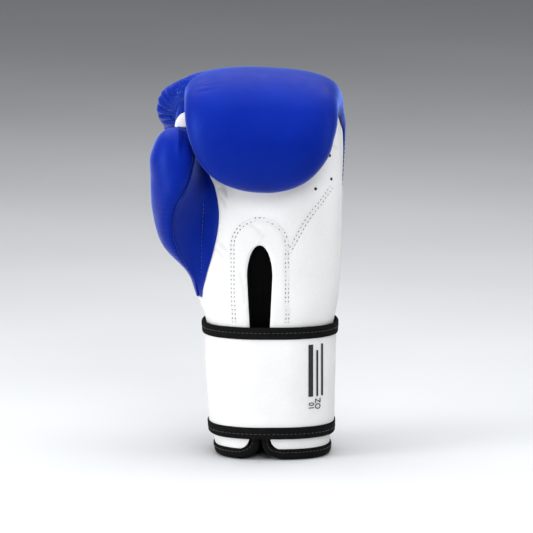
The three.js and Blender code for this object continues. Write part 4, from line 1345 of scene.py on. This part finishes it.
def print_pieces():
    """Plain printed bars, and a size mark that reads up the strap."""
    ink_out = STRAP_OUT + 0.42

    def bent(points):
        x, z = points[:, 0], points[:, 1]
        return hand(z, hand_angle(z, x * 0.935), ink_out + points[:, 2])

    parts = []
    for left, right, top in ((28.2, 31.6, 86.5), (34.0, 35.3, 82), (37.6, 38.9, 86.5)):
        z, x = table(np.linspace(47.5, top, 40), np.linspace(left, right, 5))
        flat = np.stack([x, z, np.zeros_like(x)], -1)
        parts.append((bent(flat.reshape(-1, 3)), grid_quads(*x.shape).tolist()))
    points, faces = gathered(parts)
    piece = hide("strap_print_bars", points, faces, INK_AND_HOLE_SHADE, 0.12, 0)
    place(piece, "strap_front")

    curve = bpy.data.curves.new("size_mark", "FONT")
    curve.body = "10\nOZ"
    curve.size = 5.6
    curve.space_line = 0.85
    curve.offset = 0.06
    curve.resolution_u = 3
    text = bpy.data.objects.new("size_mark", curve)
    bpy.context.collection.objects.link(text)
    bpy.context.view_layer.update()
    mesh = bpy.data.meshes.new_from_object(text.evaluated_get(bpy.context.evaluated_depsgraph_get()))
    bpy.data.objects.remove(text)
    u, v = np.array([p.co[:2] for p in mesh.vertices]).T
    flat = np.stack([32.2 - v, 37.6 + u, np.zeros_like(u)], -1)
    faces = [list(p.vertices) for p in mesh.polygons]
    bpy.data.meshes.remove(mesh)
    piece = hide("strap_size_mark", bent(flat), faces, INK_AND_HOLE_SHADE, 0.12, 0)
    place(piece, "strap_front")


# ---------------------------------------------------------------- inside


GRIP_CENTRE, GRIP_HALF, GRIP_RADIUS = (-6, -12, 226), 44, 7


def grip_piece():
    """A padded bar in a cloth sleeve, across the palm under the fingers."""
    turns = np.linspace(0, 2 * math.pi, 28, endpoint=False)
    share = np.sin(np.linspace(-math.pi / 2, math.pi / 2, 50))
    t, turn = table(share, turns)
    radius = GRIP_RADIUS * (1 - np.abs(t) ** 6) ** 0.5 + 0.05
    radius = radius * (1 + 0.015 * np.sin(turn * 3 + t * 9))
    x, y, z = GRIP_CENTRE
    rings = np.stack([x + GRIP_HALF * t, y + radius * np.cos(turn), z + radius * np.sin(turn)], -1)
    piece = tube("grip_bar_sleeve", rings[:, ::-1], LINING_CLOTH)
    place(piece, "hand", ["grip_bar"], 0.95)


INNER_LOOKS = {
    "pad_foam": (FOAM, ["back_foam", "finger_foam", "palm_foam"]),
    "lining_cloth": (LINING_CLOTH, ["palm_lining", "back_lining", "finger_lining", "thumb_lining"]),
    "white_leather": (WHITE, ["slit_facing"]),
}


def dress_inner_nodes():
    """The CAD nodes that stay get the same procedural materials."""
    for material, names in INNER_LOOKS.values():
        for name in names:
            mesh = frame["nodes"][name].data
            mesh.materials.clear()
            mesh.materials.append(material)


# ---------------------------------------------------------------- stage


def area_light(name, at, aim, size, power, glossy):
    light = bpy.data.lights.new(name, "AREA")
    light.shape = "RECTANGLE"
    light.size, light.size_y = size
    light.energy = power
    lamp = bpy.data.objects.new(name, light)
    lamp.location = at
    lamp.visible_glossy = glossy
    lamp.rotation_euler = (Vector(aim) - Vector(at)).to_track_quat("-Z", "Y").to_euler()
    bpy.context.collection.objects.link(lamp)


VIEW_TARGET = (-2.6, 0, 139)
VIEW_WIDTH = 0.394  # what the frame spans at the target, in metres
VIEW_DISTANCE = 4.0
VIEW_ELEVATION = 9.7


def stage():
    target = Vector(row_point(*VIEW_TARGET))
    up = math.radians(VIEW_ELEVATION)
    camera = bpy.data.cameras.new("camera")
    camera.sensor_width = 36
    camera.lens = 36 * VIEW_DISTANCE / VIEW_WIDTH
    view = bpy.data.objects.new("camera", camera)
    view.location = target + VIEW_DISTANCE * Vector((0, -math.cos(up), math.sin(up)))
    view.rotation_euler = (target - view.location).to_track_quat("-Z", "Y").to_euler()
    bpy.context.collection.objects.link(view)
    bpy.context.scene.camera = view

    floor_material = Paint("pale_floor", 0.85)
    cloudy = floor_material.span(floor_material.noise(400, 2), 0.3, 0.7)
    floor_material.colour(floor_material.blend(cloudy, (0.5, 0.51, 0.52, 1), (0.54, 0.55, 0.56, 1)))
    mesh = bpy.data.meshes.new("floor")
    far = 6.0
    mesh.from_pydata([(-far, -far, 0), (far, -far, 0), (far, far, 0), (-far, far, 0)], [], [(0, 1, 2, 3)])
    mesh.materials.append(floor_material.material)
    floor = bpy.data.objects.new("floor", mesh)
    floor.location.z = -0.0002
    bpy.context.collection.objects.link(floor)

    world = bpy.data.worlds.new("studio")
    world.use_nodes = True
    world.node_tree.nodes["Background"].inputs["Color"].default_value = (0.82, 0.85, 0.9, 1)
    world.node_tree.nodes["Background"].inputs["Strength"].default_value = 0.22
    bpy.context.scene.world = world
    bpy.context.scene.view_settings.view_transform = "Standard"

    # The fills give no highlights; the box above and behind gives the bright band over the knuckles.
    for name, at, aim, size, power, glossy in (
        ("front_fill", (0.35, -1.6, 1.2), (0, 0, 0.14), (1.2, 0.8), 16, False),
        ("low_fill", (-0.9, -1.6, 0.25), (0, 0, 0.06), (0.8, 0.5), 7, False),
        ("top_fill", (0.0, -0.1, 1.5), (0, 0, 0.25), (1.2, 1.0), 22, False),
        ("top_softbox", (0.0, 0.35, 1.4), (0, 0, 0.25), (2.2, 1.9), 15, True),
        ("left_side", (-1.3, -0.6, 0.5), (0, 0, 0.18), (0.6, 1.3), 20, True),
        ("right_side", (1.3, -0.4, 0.5), (0, 0, 0.15), (0.5, 1.3), 5, True),
    ):
        area_light(name, at, aim, size, power, glossy)


for build in (
    stage, dress_inner_nodes, mitt_piece, gusset_leathers, thumb_piece, web_piece, thumb_foam_piece,
    tab_piece, palm_piece, side_pieces, gusset_piece, slit_edge_piece, cuff_pieces, rim_tape_piece,
    strap_pieces, print_pieces, grip_piece,
):
    build()
